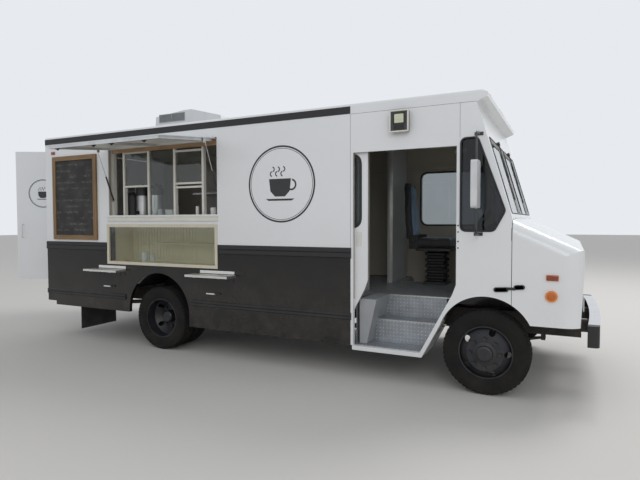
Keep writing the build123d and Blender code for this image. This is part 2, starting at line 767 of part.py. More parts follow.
def cab_door_glass(side):
    left, right, low, high = DOOR_WINDOW
    pane = soft_rect(left + SEAT_GAP, right - SEAT_GAP, low + SEAT_GAP, high - SEAT_GAP, DOOR_WINDOW_R)
    half = GLASS_WALL / 2
    glass = across(pane, *span(side, DOOR_PLANE_MIDDLE - half, DOOR_PLANE_MIDDLE + half))
    return Pos(-door_slide(side), 0, 0) * glass


def door_track(side):
    """Channel over the doorway in which the door's hangers run."""
    middle = DOOR_PLANE_MIDDLE
    low, high = TRACK_Z
    bar = block(*TRACK_X, *span(side, middle - 18, IN), low, high)
    slot = block(2 * TRACK_X[0], 0, *span(side, middle - 6, middle + 6), low - 1, low + TRACK_LEDGE + 1)
    bore = block(2 * TRACK_X[0], 0, *span(side, middle - 12, middle + 12), low + TRACK_LEDGE, high - 6)
    return bar - slot - bore


# Rear doors

def rear_hinge_fixed(side):
    """Pins and outer knuckles on the rear frame."""
    x = REAR_X - REAR_HINGE_OUT
    y = side * REAR_DOOR_HALF
    parts = []
    for z in REAR_HINGE_Z:
        parts.append(rod_z(x, y, z - 75, z + 75, REAR_HINGE_R))
        for low in (z - 75, z + 40):
            parts.append(rod_z(x, y, low, low + 35, REAR_HINGE_R + 5))
            near = REAR_DOOR_HALF + 3
            parts.append(block(x, REAR_X, *span(side, near, near + 10), low, low + 35))
            parts.append(block(REAR_X - 5, REAR_X, *span(side, near, near + 57), low, low + 35))
    return join(parts)


def rear_door(side):
    """One of the two rear doors, drawn closed and swung to where it stands."""
    edge = REAR_DOOR_HALF - MOVING_GAP
    low = REAR_DOOR_BOTTOM_Z + MOVING_GAP
    high = REAR_DOOR_TOP_Z - MOVING_GAP
    leaf = block(REAR_X, REAR_X + REAR_DOOR_WALL, *span(side, REAR_DOOR_MEET, edge), low, high)
    leaf = fillet(leaf.edges().filter_by(Axis.Z), 4)
    x = REAR_X - REAR_HINGE_OUT
    y = side * REAR_DOOR_HALF
    parts = [leaf]
    for z in REAR_HINGE_Z:
        knuckle = rod_z(x, y, z - 38, z + 38, REAR_HINGE_R + 5)
        tongue = block(x, REAR_X + 1, *span(side, REAR_DOOR_HALF - 14, REAR_DOOR_HALF - 6), z - 38, z + 38)
        knuckle = knuckle + tongue - rod_z(x, y, z - 80, z + 80, REAR_HINGE_R + RUNNING_FIT)
        strap = block(REAR_X - 5, REAR_X, *span(side, edge - 180, edge), z - 30, z + 30)
        parts += [knuckle, strap]
    grip_y = side * REAR_HANDLE_Y
    near, far = REAR_X + 1, REAR_X - REAR_HANDLE_OUT
    low, high = REAR_HANDLE_Z
    handle = [(near, grip_y, low), (far, grip_y, low), (far, grip_y, high), (near, grip_y, high)]
    parts.append(tube_along(handle, PULL_R, 20))
    door = join(parts)
    if side == RIGHT:
        door = door.rotate(Axis((x, y, 0), (0, 0, 1)), REAR_DOOR_OPEN_DEG)
    return door


# Hatch over the serving opening

def hatch_knuckles():
    """X of each hinge along the hatch's top edge."""
    first = SERVE_REAR_X + HATCH_KNUCKLE_INSET
    pitch = (SERVE_FRONT_X - HATCH_KNUCKLE_INSET - first) / (HATCH_KNUCKLE_COUNT - 1)
    return [first + step * pitch for step in range(HATCH_KNUCKLE_COUNT)]


def hatch_hinge_fixed():
    """Pins and outer knuckles along the top of the serving opening."""
    y, z = HATCH_PIN
    parts = []
    for x in hatch_knuckles():
        parts.append(rod_x(x - 60, x + 60, y, z, HATCH_PIN_R))
        for left in (x - 60, x + 30):
            parts.append(rod_x(left, left + 30, y, z, HATCH_KNUCKLE_R))
            parts.append(block(left, left + 30, y, -HALF, z + 2, z + HATCH_KNUCKLE_R))
            parts.append(block(left, left + 30, -HALF - 4, -HALF, z + 2, z + 40))
    return join(parts)


def hatch_place(shape):
    """Swing a piece of the closed hatch to where the open hatch stands."""
    axis = Axis((0, HATCH_PIN[0], HATCH_PIN[1]), (1, 0, 0))
    return shape.rotate(axis, -HATCH_OPEN_DEG)


def serving_hatch():
    """Hatch of two framed panels under one skin, with rebated ends for the struts."""
    left = SERVE_REAR_X + MOVING_GAP
    right = SERVE_FRONT_X - MOVING_GAP
    top = SERVE_TOP_Z - MOVING_GAP
    low = SERVE_BOTTOM_Z + MOVING_GAP
    skin = block(left, right, -HALF, -HALF + HATCH_SKIN, low, top)
    inner = (left + HATCH_RABBET, right - HATCH_RABBET)
    frame = rect(*inner, low + HATCH_RIM, top - HATCH_RIM)
    middle = (inner[0] + inner[1]) / 2
    edge = HATCH_RIM + HATCH_BAR
    frame = frame - rect(inner[0] + HATCH_BAR, middle - HATCH_BAR / 2, low + edge, top - edge)
    frame = frame - rect(middle + HATCH_BAR / 2, inner[1] - HATCH_BAR, low + edge, top - edge)
    parts = [skin, across(frame, -HALF + HATCH_SKIN, -HALF + HATCH_WALL)]
    y, z = HATCH_PIN
    for x in hatch_knuckles():
        knuckle = rod_x(x - 28, x + 28, y, z, HATCH_KNUCKLE_R)
        knuckle = knuckle + block(x - 28, x + 28, y - 6, y, z - 40, z)
        knuckle = knuckle + block(x - 28, x + 28, y - 6, -HALF, z - 40, z - 12)
        parts.append(knuckle - rod_x(x - 70, x + 70, y, z, HATCH_PIN_R + RUNNING_FIT))
    for x, outward in strut_places():
        face = x - outward * (STRUT_PLATE_GAP + STRUT_EYE_HALF)
        head_y = y + STRUT_HEAD[0]
        head_z = z + STRUT_HEAD[1]
        plate_y = (-HALF + HATCH_SKIN, head_y + 12)
        parts.append(block(face - outward * 5, face, *plate_y, head_z - 20, head_z + 20))
    return hatch_place(join(parts))


def strut_places():
    """Each strut's X, and the way its outer face looks."""
    return ((SERVE_REAR_X + STRUT_INSET, -1), (SERVE_FRONT_X - STRUT_INSET, 1))


def strut_head(open_deg):
    """Y and Z of the hatch's strut pin with the hatch open by an angle."""
    turn = math.radians(open_deg)
    dy, dz = STRUT_HEAD
    y = dy * math.cos(turn) + dz * math.sin(turn)
    z = -dy * math.sin(turn) + dz * math.cos(turn)
    return HATCH_PIN[0] + y, HATCH_PIN[1] + z


def strut_line(open_deg):
    """Length of a strut and its lean from upright, outward, in degrees."""
    y, z = strut_head(open_deg)
    dy = y - STRUT_FOOT[0]
    dz = z - STRUT_FOOT[1]
    return math.hypot(dy, dz), math.degrees(math.atan2(-dy, dz))


def strut_feet():
    """Brackets and pins at the lower ends of the struts, on the wall's inner face."""
    y, z = STRUT_FOOT
    parts = []
    for x, outward in strut_places():
        wall_x = SERVE_REAR_X if outward < 0 else SERVE_FRONT_X
        near = x + outward * (STRUT_BARREL_R + 2)
        cheek = wall_x + outward * (SERVE_LAP - SERVE_CHEEK - SEAT_GAP)
        parts.append(block(near, cheek, -IN, y + 16, z - 22, z + 22))
        parts.append(rod_x(x - outward * STRUT_EYE_HALF, near + outward * 2, y, z, STRUT_PIN_R))
    return join(parts)


def strut_place(shape):
    """Lean a strut drawn upright from its foot to where the open hatch holds it."""
    lean = strut_line(HATCH_OPEN_DEG)[1]
    return shape.rotate(Axis((0, STRUT_FOOT[0], STRUT_FOOT[1]), (1, 0, 0)), lean)


def strut_barrel(place):
    """Cylinder of a gas strut, with the eye at its foot."""
    x = place[0]
    y, z = STRUT_FOOT
    eye = rod_x(x - STRUT_EYE_HALF, x + STRUT_EYE_HALF, y, z, STRUT_EYE_R)
    barrel = rod_z(x, y, z + 5, z + STRUT_BARREL_LENGTH, STRUT_BARREL_R)
    body = eye + barrel - rod_x(x - 20, x + 20, y, z, STRUT_PIN_R + RUNNING_FIT)
    body = body - rod_z(x, y, z + 25, z + STRUT_BARREL_LENGTH + 1, STRUT_ROD_R + RUNNING_FIT)
    return strut_place(body)


def strut_rod(place):
    """Rod of a gas strut, with the eye that meets the hatch's bracket."""
    x = place[0]
    y, z = STRUT_FOOT
    length = strut_line(HATCH_OPEN_DEG)[0]
    tail = z + 30 + (length - strut_line(0)[0])
    rod = rod_z(x, y, tail, z + length, STRUT_ROD_R)
    eye = rod_x(x - STRUT_EYE_HALF, x + STRUT_EYE_HALF, y, z + length, STRUT_EYE_R)
    return strut_place(rod + eye)


# Serving window, display case, board and fold shelves

def serving_window():
    """Aluminium window: outer frame, mullions, the raised sashes and the sash bars."""
    low = SERVE_BOTTOM_Z
    high = SERVE_TOP_Z + SERVE_HEAD
    left = SERVE_REAR_X - SERVE_LAP
    right = SERVE_FRONT_X + SERVE_LAP
    head = high - SERVE_BAR
    half = SERVE_BAR / 2
    bars = [
        (left, right, low - SERVE_SILL, low),
        (left, right, head, high),
        (left, left + SERVE_BAR, low, head),
        (right - SERVE_BAR, right, low, head),
    ]
    bars += [(x - half, x + half, low, head) for x in MULLIONS_X]
    parts = [across(rect(*bar), *SERVE_FRAME_Y) for bar in bars]
    first, second, third, fourth = MULLIONS_X
    sash_y = (SERVE_FRAME_Y[0] + 8, SERVE_FRAME_Y[1] - 8)
    for x0, x1, z in (
        (third, fourth, SASH_BAR_Z),
        (third, fourth, SASH_BAR_Z - SASH_STEP),
        (third, fourth, SASH_TOPS_Z[1]),
        (first, second, SASH_TOPS_Z[0]),
        (first, second, SASH_BAR_Z - SASH_BAR / 2),
    ):
        bar = rect(x0 + half, x1 - half, z - SASH_BAR / 2, z + SASH_BAR / 2)
        parts.append(across(bar, *sash_y))
    parts.append(across(rect(left, right, low - SERVE_SILL - 6, low - SERVE_SILL), -IN, SERVE_FRAME_Y[1]))
    parts.append(across(rect(left, right, high, high + SERVE_CHEEK), -IN, SERVE_FRAME_Y[1]))
    for inner, outer in ((left + SERVE_CHEEK, left), (right - SERVE_CHEEK, right)):
        parts.append(across(rect(inner, outer, low - SERVE_SILL, high), -IN, SERVE_FRAME_Y[0]))
    return Compound(children=parts)


def serving_panes():
    """Panes behind the hatch: rear edge, front edge, bottom and top of each."""
    bar = SERVE_BAR / 2
    first, second, third, fourth = MULLIONS_X
    high = SERVE_TOP_Z + SERVE_HEAD - SERVE_BAR
    return (
        (first + bar, second - bar, SASH_BAR_Z, SASH_TOPS_Z[0] - SASH_BAR / 2),
        (second + bar, third - bar, SERVE_BOTTOM_Z, high),
        (third + bar, fourth - bar, SASH_BAR_Z + SASH_BAR / 2, SASH_TOPS_Z[1] - SASH_BAR / 2),
    )


def display_case():
    """Glazed case let into the wall: its face frame and the hollow box behind."""
    outer = rect(CASE_REAR_X, CASE_FRONT_X, CASE_BOTTOM_Z, CASE_TOP_Z)
    inner = rect(CASE_REAR_X + CASE_FRAME, CASE_FRONT_X - CASE_FRAME, CASE_BOTTOM_Z + CASE_FRAME,
                 CASE_TOP_Z - CASE_FRAME)
    face = across(outer - inner, -HALF - CASE_FACE, -IN)
    hollow = rect(CASE_REAR_X + CASE_WALL, CASE_FRONT_X - CASE_WALL, CASE_BOTTOM_Z + CASE_WALL,
                  CASE_TOP_Z - CASE_WALL)
    back_y = -IN + CASE_DEPTH
    box = across(outer - hollow, -IN, back_y) + across(outer, back_y, back_y + CASE_WALL)
    shelf_z = (CASE_BOTTOM_Z + CASE_TOP_Z) / 2
    shelf = block(CASE_SHELF_REAR_X, CASE_FRONT_X - CASE_WALL, back_y - CASE_SHELF_DEPTH, back_y,
                  shelf_z, shelf_z + CASE_WALL)
    return join([face, box, shelf])


def menu_board():
    """Chalk board in a wooden frame, hung on the wall behind the hatch."""
    left, right = BOARD_X
    low, high = BOARD_Z
    outer = rect(left, right, low, high)
    inner = rect(left + BOARD_FRAME, right - BOARD_FRAME, low + BOARD_FRAME, high - BOARD_FRAME)
    frame = across(outer - inner, -HALF - BOARD_OUT, -HALF)
    return frame + across(inner, -HALF - BOARD_PANEL, -HALF)


def shelf_hinge_places(name):
    """X of the two hinges of a shelf."""
    left, right = SHELVES[name]
    return (left + SHELF_HINGE_INSET, right - SHELF_HINGE_INSET)


def shelf_hinges_fixed():
    """Wall brackets with the pins on which the shelves fold."""
    parts = []
    y = -HALF - SHELF_PIN_OUT
    z = SHELF_Z - SHELF_PIN_DROP
    for name in SHELVES:
        for x in shelf_hinge_places(name):
            parts.append(rod_x(x - 55, x + 55, y, z, SHELF_PIN_R))
            for left in (x - 55, x + 30):
                parts.append(rod_x(left, left + 25, y, z, SHELF_KNUCKLE_R))
                parts.append(block(left, left + 25, y, -HALF, z - SHELF_KNUCKLE_R, z + SHELF_KNUCKLE_R))
                parts.append(block(left, left + 25, -HALF - 4, -HALF, z - 77, z + 21))
    return join(parts)


def fold_shelf(name):
    """Fold-down shelf: a tray with a turned-down lip, on two hinge knuckles."""
    left, right = SHELVES[name]
    y = -HALF - SHELF_PIN_OUT
    z = SHELF_Z - SHELF_PIN_DROP
    near = y - SHELF_KNUCKLE_R - MOVING_GAP
    far = y - SHELF_DEPTH
    low = SHELF_Z - SHELF_LIP
    deck = SHELF_Z - SHELF_SHEET
    profile = outline((near, deck), (near, SHELF_Z), (far, SHELF_Z), (far, low), (far + SHELF_SHEET, low),
                      (far + SHELF_SHEET, deck))
    parts = [along(profile, left, right)]
    for x in (left, right - SHELF_SHEET):
        parts.append(block(x, x + SHELF_SHEET, far, near, low, SHELF_Z))
    for x in shelf_hinge_places(name):
        knuckle = rod_x(x - 28, x + 28, y, z, SHELF_KNUCKLE_R)
        knuckle = knuckle + block(x - 28, x + 28, near - 26, y, z - SHELF_KNUCKLE_R, deck)
        parts.append(knuckle - rod_x(x - 70, x + 70, y, z, SHELF_PIN_R + RUNNING_FIT))
    return join(parts)


# Hood, grille and lamps

def hood_solid(inset):
    """Outer shape of the hood, drawn in by the same amount on every face."""
    rear = HOOD_REAR_X + (0 if inset == 0 else -1)
    crown_z = COWL_Z - inset
    nose = HOOD_NOSE_X - inset
    end_z = crown_z - HOOD_SLOPE * (nose - rear)
    profile = outline(
        (rear, HOOD_BOTTOM_Z - inset),
        (nose - 30, HOOD_BOTTOM_Z - inset),
        (nose, end_z - 130),
        (nose, end_z),
        (rear, crown_z),
    )
    profile = round_at(profile, (nose, end_z), 110)
    if inset == 0:
        profile = profile - front_arch()
    lengthways = across(profile, -HALF, HALF)
    half = HALF - inset
    shoulder = half - HOOD_SHOULDER
    side_z = HOOD_SIDE_Z - inset
    section = closed_face(
        Polyline((half, side_z - 40), (half, -1500), (-half, -1500), (-half, side_z - 40)),
        ThreePointArc((-half, side_z - 40), (-half + 38, side_z + 52), (-shoulder, side_z + 92)),
        ThreePointArc((-shoulder, side_z + 92), (0, crown_z), (shoulder, side_z + 92)),
        ThreePointArc((shoulder, side_z + 92), (half - 38, side_z + 52), (half, side_z - 40)),
    )
    run = nose - rear + 20
    slope = Vector(1, 0, -HOOD_SLOPE)
    crosswise = extrude(Plane.YZ.offset(rear) * section, amount=run * slope.length, dir=slope)
    plan = rect(rear, nose, -half, half)
    plan = round_at(plan, (nose, half), HOOD_CORNER_R)
    plan = round_at(plan, (nose, -half), HOOD_CORNER_R)
    return lengthways & crosswise & upright(plan, 0, 2000)


def hood_shell():
    """Tilting hood: one moulded shell with its grille and lamp openings."""
    shell = hood_solid(0) - hood_solid(HOOD_WALL)
    mouth = (HOOD_NOSE_X - HOOD_CORNER_R, HOOD_NOSE_X + 1)
    shell = shell - block(*mouth, -GRILLE_HALF, GRILLE_HALF, *GRILLE_Z)
    liner = (front_arch(HOOD_WALL) - front_arch()) & rect(HOOD_REAR_X, HOOD_NOSE_X, HOOD_BOTTOM_Z, COWL_Z)
    x, z = HOOD_PIVOT
    for side in BOTH_SIDES:
        shell = shell - block(*mouth, *span(side, *LAMP_Y), *LAMP_Z)
        ear = rod_y(x, *span(side, *HOOD_EAR_Y), z, HOOD_EAR_R)
        ear = ear + block(x - 10, HOOD_NOSE_X - HOOD_WALL, *span(side, *HOOD_EAR_Y), z - 14, z + 40)
        ear = ear - rod_y(x, *span(side, RAIL_OUT, 2 * HOOD_EAR_Y[1]), z, HOOD_PIVOT_R + RUNNING_FIT)
        shell = shell + ear + across(liner, *span(side, LINER_IN + 10, HALF - HOOD_WALL))
    return shell


def hood_front():
    """Grille with its bars, the square headlamps with their turn lamps, and the side lamps."""
    face_x = HOOD_NOSE_X - HOOD_WALL - 8
    low, high = GRILLE_Z
    frame = rect(-GRILLE_HALF + SEAT_GAP, GRILLE_HALF - SEAT_GAP, low + SEAT_GAP, high - SEAT_GAP)
    inside = GRILLE_HALF - GRILLE_FRAME
    frame = frame - rect(-inside, inside, low + GRILLE_FRAME, high - GRILLE_FRAME)
    grille = along(frame, face_x - 10, HOOD_NOSE_X - 3)
    pitch = (high - low - 2 * GRILLE_FRAME) / (GRILLE_BAR_COUNT + 1)
    for row in range(1, GRILLE_BAR_COUNT + 1):
        z = low + GRILLE_FRAME + row * pitch
        grille = grille + block(face_x, HOOD_NOSE_X - 8, -inside - 1, inside + 1, z - GRILLE_BAR / 2,
                                z + GRILLE_BAR / 2)
    parts = [grille + block(face_x - 10, face_x, -14, 14, low + 20, high - 20)]
    near, far = LAMP_Y
    low, high = LAMP_Z
    lens_far = far - LAMP_RIM - TURN_LAMP_WIDTH
    lens = soft_rect(near + LAMP_RIM, lens_far, low + LAMP_RIM, high - LAMP_RIM, 12)
    turn_lamp = soft_rect(lens_far + 8, far - LAMP_RIM, low + LAMP_RIM, high - LAMP_RIM, 8)
    bezel = rect(near + SEAT_GAP, far - SEAT_GAP, low + SEAT_GAP, high - SEAT_GAP) - lens - turn_lamp
    for side in BOTH_SIDES:
        unit = along(bezel, face_x - 30, HOOD_NOSE_X - 12)
        unit = unit + along(lens + turn_lamp, face_x - 20, HOOD_NOSE_X - 16)
        if side == RIGHT:
            unit = mirror(unit, about=Plane.XZ)
        parts.append(unit)
        parts.append(rod_y(SIDE_LAMP[0], *span(side, HALF, HALF + 18), SIDE_LAMP[1], SIDE_LAMP_R))
        x0, x1, z0, z1 = SIDE_MARKER
        parts.append(block(x0, x1, *span(side, HALF, HALF + 16), z0, z1))
    return join(parts)


# Chassis

def frame_chassis():
    """Ladder frame: two channels, cross members, the hood's pivot brackets, horns and tail bar."""
    parts = []
    low, top = RAIL_LOW_Z, RAIL_TOP_Z
    x, z = HOOD_PIVOT
    back, front = x + HOOD_BRACKET_X[0], x + HOOD_BRACKET_X[1]
    lip_reach = z - HOOD_BOTTOM_Z
    bracket = outline((back, low + 60), (front, low + 60), (front, z - lip_reach - 5), (x - 30, z - 20),
                      (x + 18, z - 18), (x + 18, z + 16), (front, z + 16), (back, z - lip_reach))
    for corner in (front, x + 18):
        bracket = round_at(bracket, (corner, z + 16), 12)
    sag = (BUMPER_CENTRE_X - BUMPER_END_X) * (RAIL_OUT / BUMPER_END_Y) ** 2
    horn_x = BUMPER_CENTRE_X - BUMPER_WALL - sag - SEAT_GAP
    for side in BOTH_SIDES:
        rail = rect(*span(side, RAIL_IN, RAIL_OUT), low, top)
        rail = rail - rect(*span(side, RAIL_IN - 1, RAIL_OUT - RAIL_WEB), low + RAIL_WEB, top - RAIL_WEB)
        taper = block(RAIL_TAPER_X, RAIL_NOSE_X + 1, *span(side, 0, HALF), top - RAIL_TAPER, top + 1)
        parts.append(along(rail, RAIL_REAR_X, RAIL_NOSE_X) - taper)
        parts.append(across(bracket, *span(side, RAIL_OUT, RAIL_OUT + 12)))
        parts.append(rod_y(x, *span(side, RAIL_OUT, HOOD_EAR_Y[1] + 8), z, HOOD_PIVOT_R))
        parts.append(block(RAIL_NOSE_X - 30, horn_x, *span(side, RAIL_IN, RAIL_OUT), *HORN_Z))
        foot = span(side, RAIL_Y - 30, RAIL_Y + 30)
        parts.append(block(RAIL_REAR_X, RAIL_REAR_X + 60, *foot, low + 15, low + 30))
    reach = RAIL_OUT - RAIL_WEB / 2
    for x in CROSS_MEMBERS_X:
        tie_low = top - CROSS_MEMBER_DEPTH - 25
        tie = rect(x - 40, x + 40, tie_low, top - 25) - rect(x - 34, x + 41, tie_low + 6, top - 31)
        parts.append(across(tie, -reach, reach))
    parts.append(block(*RADIATOR_X, -reach, reach, RADIATOR_Z[0] - 60, RADIATOR_Z[0] - SEAT_GAP))
    tail = block(RAIL_REAR_X, RAIL_REAR_X + 60, -TAIL_BAR_HALF, TAIL_BAR_HALF, low - 60, low + 20)
    parts.append(fillet(tail.edges().filter_by(Axis.Y), 8))
    return join(parts)


def engine_and_driveline():
    """Engine as one block under its cover, with the shaft, exhaust, radiator and fuel tank."""
    engine = block(*ENGINE_X, -ENGINE_HALF, ENGINE_HALF, *ENGINE_Z)
    solids = [fillet(engine.edges().filter_by(Axis.X), 60)]
    for side in BOTH_SIDES:
        mount = span(side, ENGINE_HALF, RAIL_OUT - RAIL_WEB - SEAT_GAP)
        for x in ENGINE_MOUNTS_X:
            solids.append(block(x - 50, x + 50, *mount, 560, 640))
    gearbox_x = ENGINE_X[0] - GEARBOX_LENGTH
    gearbox = rod_x(gearbox_x, ENGINE_X[0], 0, GEARBOX_Z, GEARBOX_R)
    lean = (GEARBOX_Z - AXLE_Z) / (gearbox_x - REAR_AXLE_X)
    pinion_x = REAR_AXLE_X + PINION_LENGTH + SEAT_GAP + SHAFT_R * lean
    solids.append(gearbox + rod_between((gearbox_x + 1, 0, GEARBOX_Z), (pinion_x, 0, AXLE_Z), SHAFT_R))
    rear, front = SILENCER_X
    y, z = SILENCER_Y, SILENCER_Z
    parts = [rod_x(rear, front, y, z, SILENCER_R)]
    for x in (rear + 150, front - 150):
        strap_z = (z + SILENCER_R - 10, z + SILENCER_R + 10)
        parts.append(block(x - 15, x + 15, y - 10, -RAIL_OUT - SEAT_GAP, *strap_z))
    pipe = [(front - 1, y, z), (-1500, y, z), (-1250, -300, z), (-700, -230, z), (ENGINE_X[0] - 60, -210, 560),
            (ENGINE_X[0] - SEAT_GAP, -210, 560)]
    parts.append(tube_along(pipe, PIPE_R, 80))
    tail_pipe = [(rear + 1, y, z), (-3440, y, z), (-3700, y, 560), (-4400, y, 560), (-4750, y, 500),
                 (-5150, -800, 490), (-5420, -1000, 490)]
    parts.append(tube_along(tail_pipe, PIPE_R, 80))
    tank = block(*TANK_X, RAIL_OUT + SEAT_GAP, TANK_OUT, *TANK_Z)
    tank = fillet(tank.edges(), 40)
    radiator = block(*RADIATOR_X, -RADIATOR_HALF, RADIATOR_HALF, *RADIATOR_Z)
    return Compound(children=solids + [join(parts), tank, radiator])


def leaf_spring(x, half, z_low, rise):
    """Bowed pack of leaves, seen from the side, with an eye at each end."""
    arc_low = ThreePointArc((x - half, z_low + rise), (x, z_low), (x + half, z_low + rise))
    arc_high = ThreePointArc((x + half, z_low + rise + 14), (x, z_low + SPRING_DEPTH),
                             (x - half, z_low + rise + 14))
    face = closed_face(arc_low, Line(arc_low @ 1, arc_high @ 0), arc_high, Line(arc_high @ 1, arc_low @ 0))
    for end in (x - half, x + half):
        face = face + Pos(end, z_low + rise + 7) * Circle(SPRING_EYE_R)
    return face


def axles_and_springs():
    """Front beam with its king pins, rear axle with its differential, and four leaf springs on hangers."""
    beam_low = AXLE_Z - 80
    rise_y, drop_y = KINGPIN_Y - 115, KINGPIN_Y - 295
    beam = outline(
        (-KINGPIN_Y, AXLE_Z - 32), (-KINGPIN_Y, AXLE_Z + 32), (-rise_y, AXLE_Z + 22), (-drop_y, beam_low + 50),
        (drop_y, beam_low + 50), (rise_y, AXLE_Z + 22), (KINGPIN_Y, AXLE_Z + 32), (KINGPIN_Y, AXLE_Z - 32),
        (rise_y, AXLE_Z - 30), (drop_y, beam_low), (-drop_y, beam_low), (-rise_y, AXLE_Z - 30),
    )
    parts = [along(beam, -28, 28)]
    spring_low = beam_low + 50
    for side in BOTH_SIDES:
        y = side * KINGPIN_Y
        parts.append(rod_z(0, y, AXLE_Z - 45, AXLE_Z + 45, 30))
        parts.append(rod_z(0, y, AXLE_Z - 105, AXLE_Z + 105, KINGPIN_R))
        near, far = RAIL_Y - SPRING_WIDTH / 2, RAIL_Y + SPRING_WIDTH / 2
        parts.append(across(leaf_spring(0, FRONT_SPRING_HALF, spring_low, 60), *span(side, near, far)))
        for x in (-FRONT_SPRING_HALF, FRONT_SPRING_HALF):
            parts.append(block(x - 22, x + 22, *span(side, near - 6, near), spring_low + 45, RAIL_LOW_Z))
            parts.append(block(x - 22, x + 22, *span(side, far, far + 6), spring_low + 45, RAIL_LOW_Z))
    rear = rod_y(REAR_AXLE_X, -DUAL_FACE_Y - 60, DUAL_FACE_Y + 60, AXLE_Z, AXLE_END_R)
    rear = rear + rod_y(REAR_AXLE_X, -620, 620, AXLE_Z, 65)
    rear = rear + Pos(REAR_AXLE_X, 0, AXLE_Z) * scale(Sphere(185), by=(1, 0.75, 1))
    parts.append(rear + rod_x(REAR_AXLE_X, REAR_AXLE_X + PINION_LENGTH, 0, AXLE_Z, 60))
    for side in BOTH_SIDES:
        near, far = REAR_SPRING_Y - SPRING_WIDTH / 2, REAR_SPRING_Y + SPRING_WIDTH / 2
        spring = leaf_spring(REAR_AXLE_X, REAR_SPRING_HALF, AXLE_Z + 60, 70)
        parts.append(across(spring, *span(side, near, far)))
        for end in (-REAR_SPRING_HALF, REAR_SPRING_HALF):
            x = REAR_AXLE_X + end
            parts.append(block(x - 30, x + 30, *span(side, RAIL_OUT, far), AXLE_Z + 130, AXLE_Z + 210))
    return join(parts)


def turned(profile):
    """Revolve an outline of radius and axial place about the Y axis."""
    return revolve(Plane.XY * profile, axis=Axis.Y)


def tyre_ring():
    """One tyre, centred on the origin with its axle along Y."""
    half = TYRE_WIDTH / 2
    shoulder = (TYRE_R - 17.5, half - 16)
    bead = RIM_R + SEAT_GAP
    flange = RIM_R + RIM_LIP + SEAT_GAP
    seat = RIM_HALF_WIDTH - RIM_WALL - SEAT_GAP
    bulge = (bead + shoulder[0]) / 2
    face = closed_face(
        Polyline((flange, -seat), (bead, -seat), (bead, seat), (flange, seat)),
        ThreePointArc((flange, seat), (bulge, half), shoulder),
        Polyline(shoulder, (TYRE_R, half - 40), (TYRE_R, -half + 40), (shoulder[0], -shoulder[1])),
        ThreePointArc((shoulder[0], -shoulder[1]), (bulge, -half), (flange, -seat)),
    )
    return turned(face)


def rim_body(face):
    """Rim and disc of one wheel; the bolting face lies outboard of the centre plane by the amount given."""
    half = RIM_HALF_WIDTH
    seat = half - RIM_WALL
    inside = RIM_R - RIM_WALL
    lip = RIM_R + RIM_LIP
    barrel = outline((lip, -half), (lip, -seat), (RIM_R, -seat), (RIM_R, seat), (lip, seat), (lip, half),
                     (inside, half), (inside, -half))
    turn = 1 if face > 0 else -1
    disc = outline(
        (HUB_PILOT_R, face), (168, face), (inside + 1, face - turn * 72), (inside + 1, face - turn * 88),
        (170, face - turn * DISC_WALL), (HUB_PILOT_R, face - turn * DISC_WALL),
    )
    rim = turned(barrel) + turned(disc)
    for hole in PolarLocations(HAND_CIRCLE_R, HAND_HOLE_COUNT):
        spot = hole.position
        rim = rim - rod_y(spot.X, -HALF, HALF, spot.Y, HAND_HOLE_R)
    return rim


def lug_nuts(face):
    """Ring of hexagon nuts on an outward face."""
    nuts = []
    for place in PolarLocations(LUG_CIRCLE_R, LUG_COUNT):
        spot = place.position
        plane = Plane(origin=(spot.X, face, spot.Y), z_dir=(0, 1, 0))
        nuts.append(extrude(plane * RegularPolygon(LUG_R, 6), amount=LUG_HEIGHT))
    return nuts


def front_rim():
    """Front wheel without its tyre: disc bowed outward, hub, brake disc and nuts."""
    face = DUAL_SPACING / 2
    hub = turned(outline(
        (SPINDLE_R + RUNNING_FIT, -55), (190, -55), (190, -30), (95, -30), (95, face - DISC_WALL - 18),
        (162, face - DISC_WALL - 18), (162, face - DISC_WALL), (HUB_PILOT_R, face - DISC_WALL),
        (HUB_PILOT_R, face + 6), (78, face + 12), (72, face + 34), (58, face + 42), (0, face + 42),
        (0, 66), (SPINDLE_R + RUNNING_FIT, 66),
    ))
    return join([rim_body(face), hub] + lug_nuts(face))


def place_wheel(shape, x, side, y):
    """Set a wheel drawn for the left side on its axle."""
    if side == RIGHT:
        shape = mirror(shape, about=Plane.XZ)
    return Pos(x, side * y, AXLE_Z) * shape


def rear_rims():
    """Twin rims back to back on one hub."""
    step = DUAL_SPACING / 2
    outer = Pos(0, step, 0) * rim_body(-step)
    inner = Pos(0, -step, 0) * rim_body(step)
    hub = turned(outline(
        (AXLE_END_R + RUNNING_FIT, -150), (190, -150), (190, -60), (95, -60), (95, -DISC_WALL - 18),
        (162, -DISC_WALL - 18), (162, -DISC_WALL), (HUB_PILOT_R, -DISC_WALL), (HUB_PILOT_R, DISC_WALL + 4),
        (80, DISC_WALL + 10), (74, 110), (60, 122), (0, 122), (0, 66), (AXLE_END_R + RUNNING_FIT, 66),
    ))
    return join([outer, inner, hub] + lug_nuts(DISC_WALL))


def rear_tyres():
    step = DUAL_SPACING / 2
    return Compound(children=[Pos(0, step, 0) * tyre_ring(), Pos(0, -step, 0) * tyre_ring()])


def steering_knuckle():
    """Forked knuckle with its spindle and steering arm, drawn for the left side."""
    pin = KINGPIN_Y - TRACK_HALF
    web = block(-42, 42, pin + 33, pin + 53, -100, 100)
    parts = [web, rod_y(0, pin + 50, -57, 0, 75), rod_y(0, pin + 50, 60, 0, SPINDLE_R)]
    for low, high in ((50, 100), (-100, -50)):
        parts.append(rod_z(0, pin, low, high, 32) + block(-32, 32, pin, pin + 34, low, high))
    arm = block(-ARM_LENGTH, 0, pin - 12, pin + 12, -92, -68)
    arm = arm + rod_z(-ARM_LENGTH, pin, -96, -64, 22)
    parts.append(arm)
    knuckle = join(parts)
    return knuckle - rod_z(0, pin, -120, 120, KINGPIN_R + RUNNING_FIT)


